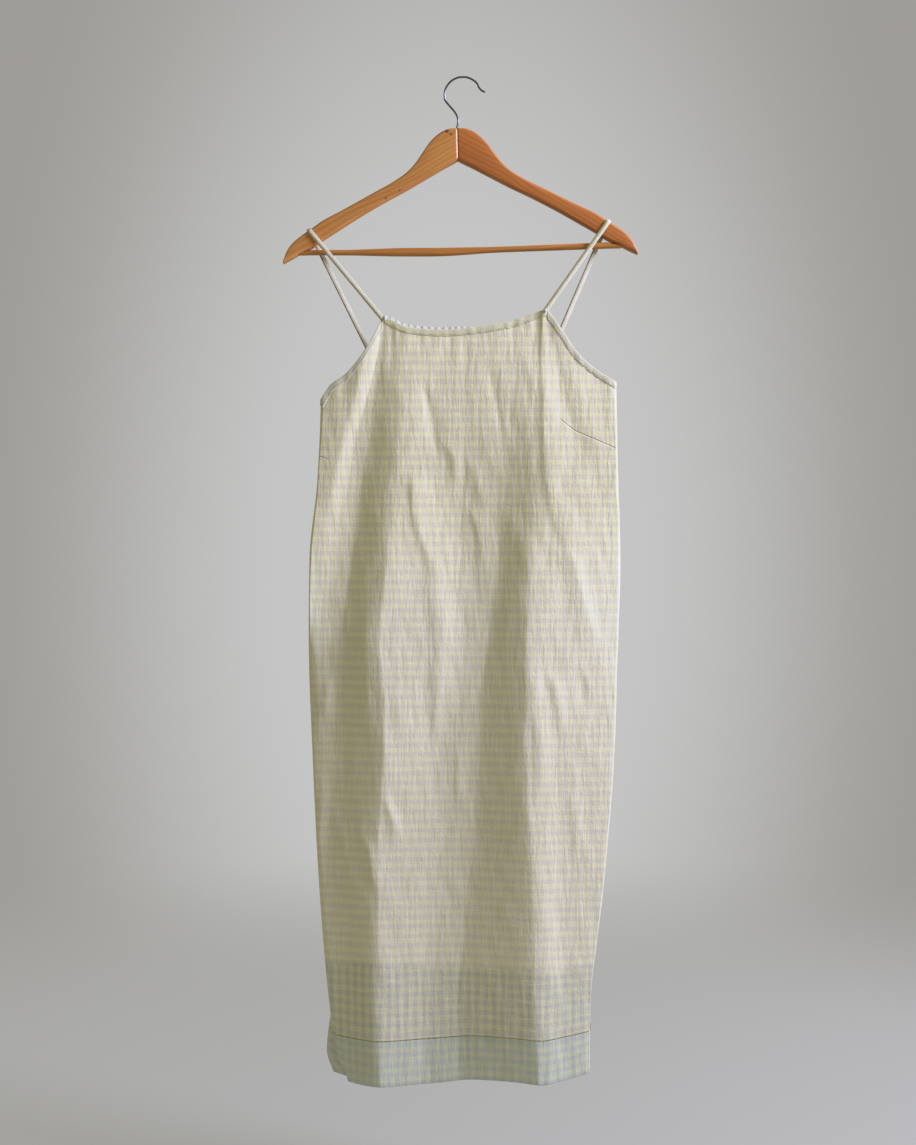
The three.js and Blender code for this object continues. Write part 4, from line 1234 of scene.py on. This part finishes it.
# Strap cotton: an olive and a cream stripe along it, with dark stitched folds between them.
def strapCotton():
    material, n, shader = newMaterial("strapCotton", cottonFinish)
    place = n.coordinates("UV")
    around = n.parts(place)["Y"]
    shifted = n.node("Mapping", {"Vector": place, "Location": (0, 4 * mm, 0)}).outputs[0]
    check = addCheck(n, shifted, clothLook["across"], strap["down"], 0.75, 0.3, strap["yarns"])
    lines = 0.0
    for seam, darkness, half in strap["seams"]:
        away = n.sum("ABSOLUTE", n.sum("SUBTRACT", around, seam * mm))
        lines = n.sum("MAXIMUM", lines, n.range(away, (half + 0.45) * mm, half * mm, 0.0, darkness))
    marks = n.sum("MULTIPLY", lines, n.range(n.noise(place, 60.0), 0.3, 0.6, 0.7, 1.0))
    n.set(shader["Base Color"], n.mix(marks, check["Color"], strap["seamTone"]))
    weave = n.noise(n.stretched(place, 300, 700), 1.0, 2.0)
    addBump(n, shader, n.sum("MULTIPLY_ADD", lines, -0.8, weave), 0.3 * mm)
    return material


strapMaterial = strapCotton()
for i, word in enumerate(("left", "right")):
    depths = strapDepth(frontPanel, frontCorners[i]), strapDepth(backPanel, backCorners[i])
    strapObject("strap" + word.title(), strap[word], *depths, strapMaterial, "strap_" + word)
print("straps made")


# Stage

stage = {
    "cameraPlace": (-0.005, -2.0, -0.622), "lens": 50.0,
    "backdrop": srgb(196, 197, 196), "backdropRim": srgb(160, 157, 153), "fill": (0.340, 0.333, 0.235, 1.0),
    "floorHeight": -1.40, "floorRadius": 2.6, "floorFade": (0.9, 2.5),
    "floorTone": (0.16, 0.155, 0.14, 1.0),
    "floorGlow": (0.29, 0.288, 0.28, 1.0),  # keeps the floor pale where the light is weak
    "keyPlace": (1.84, -0.58, 0.50), "keyTarget": (0.0, 0.0, -0.65),
    "keySize": 0.9, "keyPower": 114.0, "keyTone": (0.65, 0.685, 1.0),
    "knee": 0.72, "limit": 1.6, "top": 0.96,
}


def placeInScene(name, data, place, turn):
    thing = bpy.data.objects.new(name, data)
    thing.location = place
    thing.rotation_euler = turn
    bpy.context.scene.collection.objects.link(thing)
    return thing


def addCamera():
    camera = bpy.data.cameras.new("camera")
    camera.lens = stage["lens"]
    camera.sensor_width = 36.0
    level = (math.pi / 2, 0, 0)
    bpy.context.scene.camera = placeInScene("camera", camera, stage["cameraPlace"], level)


def addKeyLight():
    light = bpy.data.lights.new("key", "AREA")
    light.shape = "DISK"
    light.size = stage["keySize"]
    light.energy = stage["keyPower"]
    light.color = stage["keyTone"]
    x, y, z = np.array(stage["keyPlace"]) - np.array(stage["keyTarget"])
    turn = (math.atan2(math.hypot(x, y), z), 0, math.atan2(y, x) + math.pi / 2)
    placeInScene("key", light, stage["keyPlace"], turn).visible_camera = False


# Seen directly, the surroundings are pale grey, darker away from the middle; as light they are
# a warmer, weaker fill.
def addWorld():
    world = bpy.data.worlds.new("studio")
    world.use_nodes = True
    n = Nodes(world.node_tree)
    parts = n.parts(n.coordinates("Generated"))
    sideways = n.sum("MULTIPLY", parts["X"], parts["X"])
    away = n.sum("SQRT", n.sum("MULTIPLY_ADD", n.sum("MULTIPLY", parts["Z"], parts["Z"]), 0.3, sideways))
    ahead = n.range(n.sum("ABSOLUTE", parts["Y"]), 0.7, 0.88)
    rim = n.sum("MULTIPLY", n.range(away, 0.1, 0.3), ahead)
    backdrop = n.mix(rim, stage["backdrop"], stage["backdropRim"])
    seen = n.node("LightPath").outputs["Is Camera Ray"]
    n.set(world.node_tree.nodes["Background"].inputs["Color"], n.mix(seen, stage["fill"], backdrop))
    bpy.context.scene.world = world


# A round floor that fades into the pale surroundings towards its rim.
def addFloor():
    turns = fullTurn(96)
    radius, (fadeFrom, fadeTo) = stage["floorRadius"], stage["floorFade"]
    rim = np.stack([np.cos(turns) * radius, np.sin(turns) * radius, turns * 0 + stage["floorHeight"]], -1)
    floor = meshObject("floor", rim, [list(range(len(turns)))], rounded=False)
    material, n, shader = newMaterial("paleFloor", {
        "Roughness": 0.9, "Specular IOR Level": 0.1, "Base Color": stage["floorTone"],
        "Emission Color": stage["floorGlow"], "Emission Strength": 1.0,
    })
    parts = n.parts(n.coordinates("Object"))
    squares = [n.sum("MULTIPLY", parts[axis], parts[axis]) for axis in "XY"]
    n.set(shader["Alpha"], n.range(n.sum("SQRT", n.sum("ADD", *squares)), fadeTo, fadeFrom))
    floor.data.materials.append(material)


# Highlights roll off softly: values up to knee keep their tone and those up to limit end just
# below white, so that the side nearest the key keeps its check.
def softenHighlights():
    view = bpy.context.scene.view_settings
    view.view_transform = "Standard"
    view.use_curve_mapping = True
    knee, limit, top = stage["knee"], stage["limit"], stage["top"]
    mapping = view.curve_mapping
    mapping.white_level = (limit, limit, limit)
    curve = mapping.curves[3]
    for share in (0.25, 0.5, 0.75):
        point = curve.points.new(knee * share / limit, knee * share)
        point.handle_type = "VECTOR"
    curve.points.new(knee / limit, knee)
    curve.points.new((knee + 0.25 * (limit - knee)) / limit, knee + 0.5 * (top - knee))
    curve.points[0].handle_type = "VECTOR"
    curve.points[-1].location = (1.0, top)
    mapping.update()


addCamera()
addKeyLight()
addWorld()
addFloor()
softenHighlights()
print("stage made")
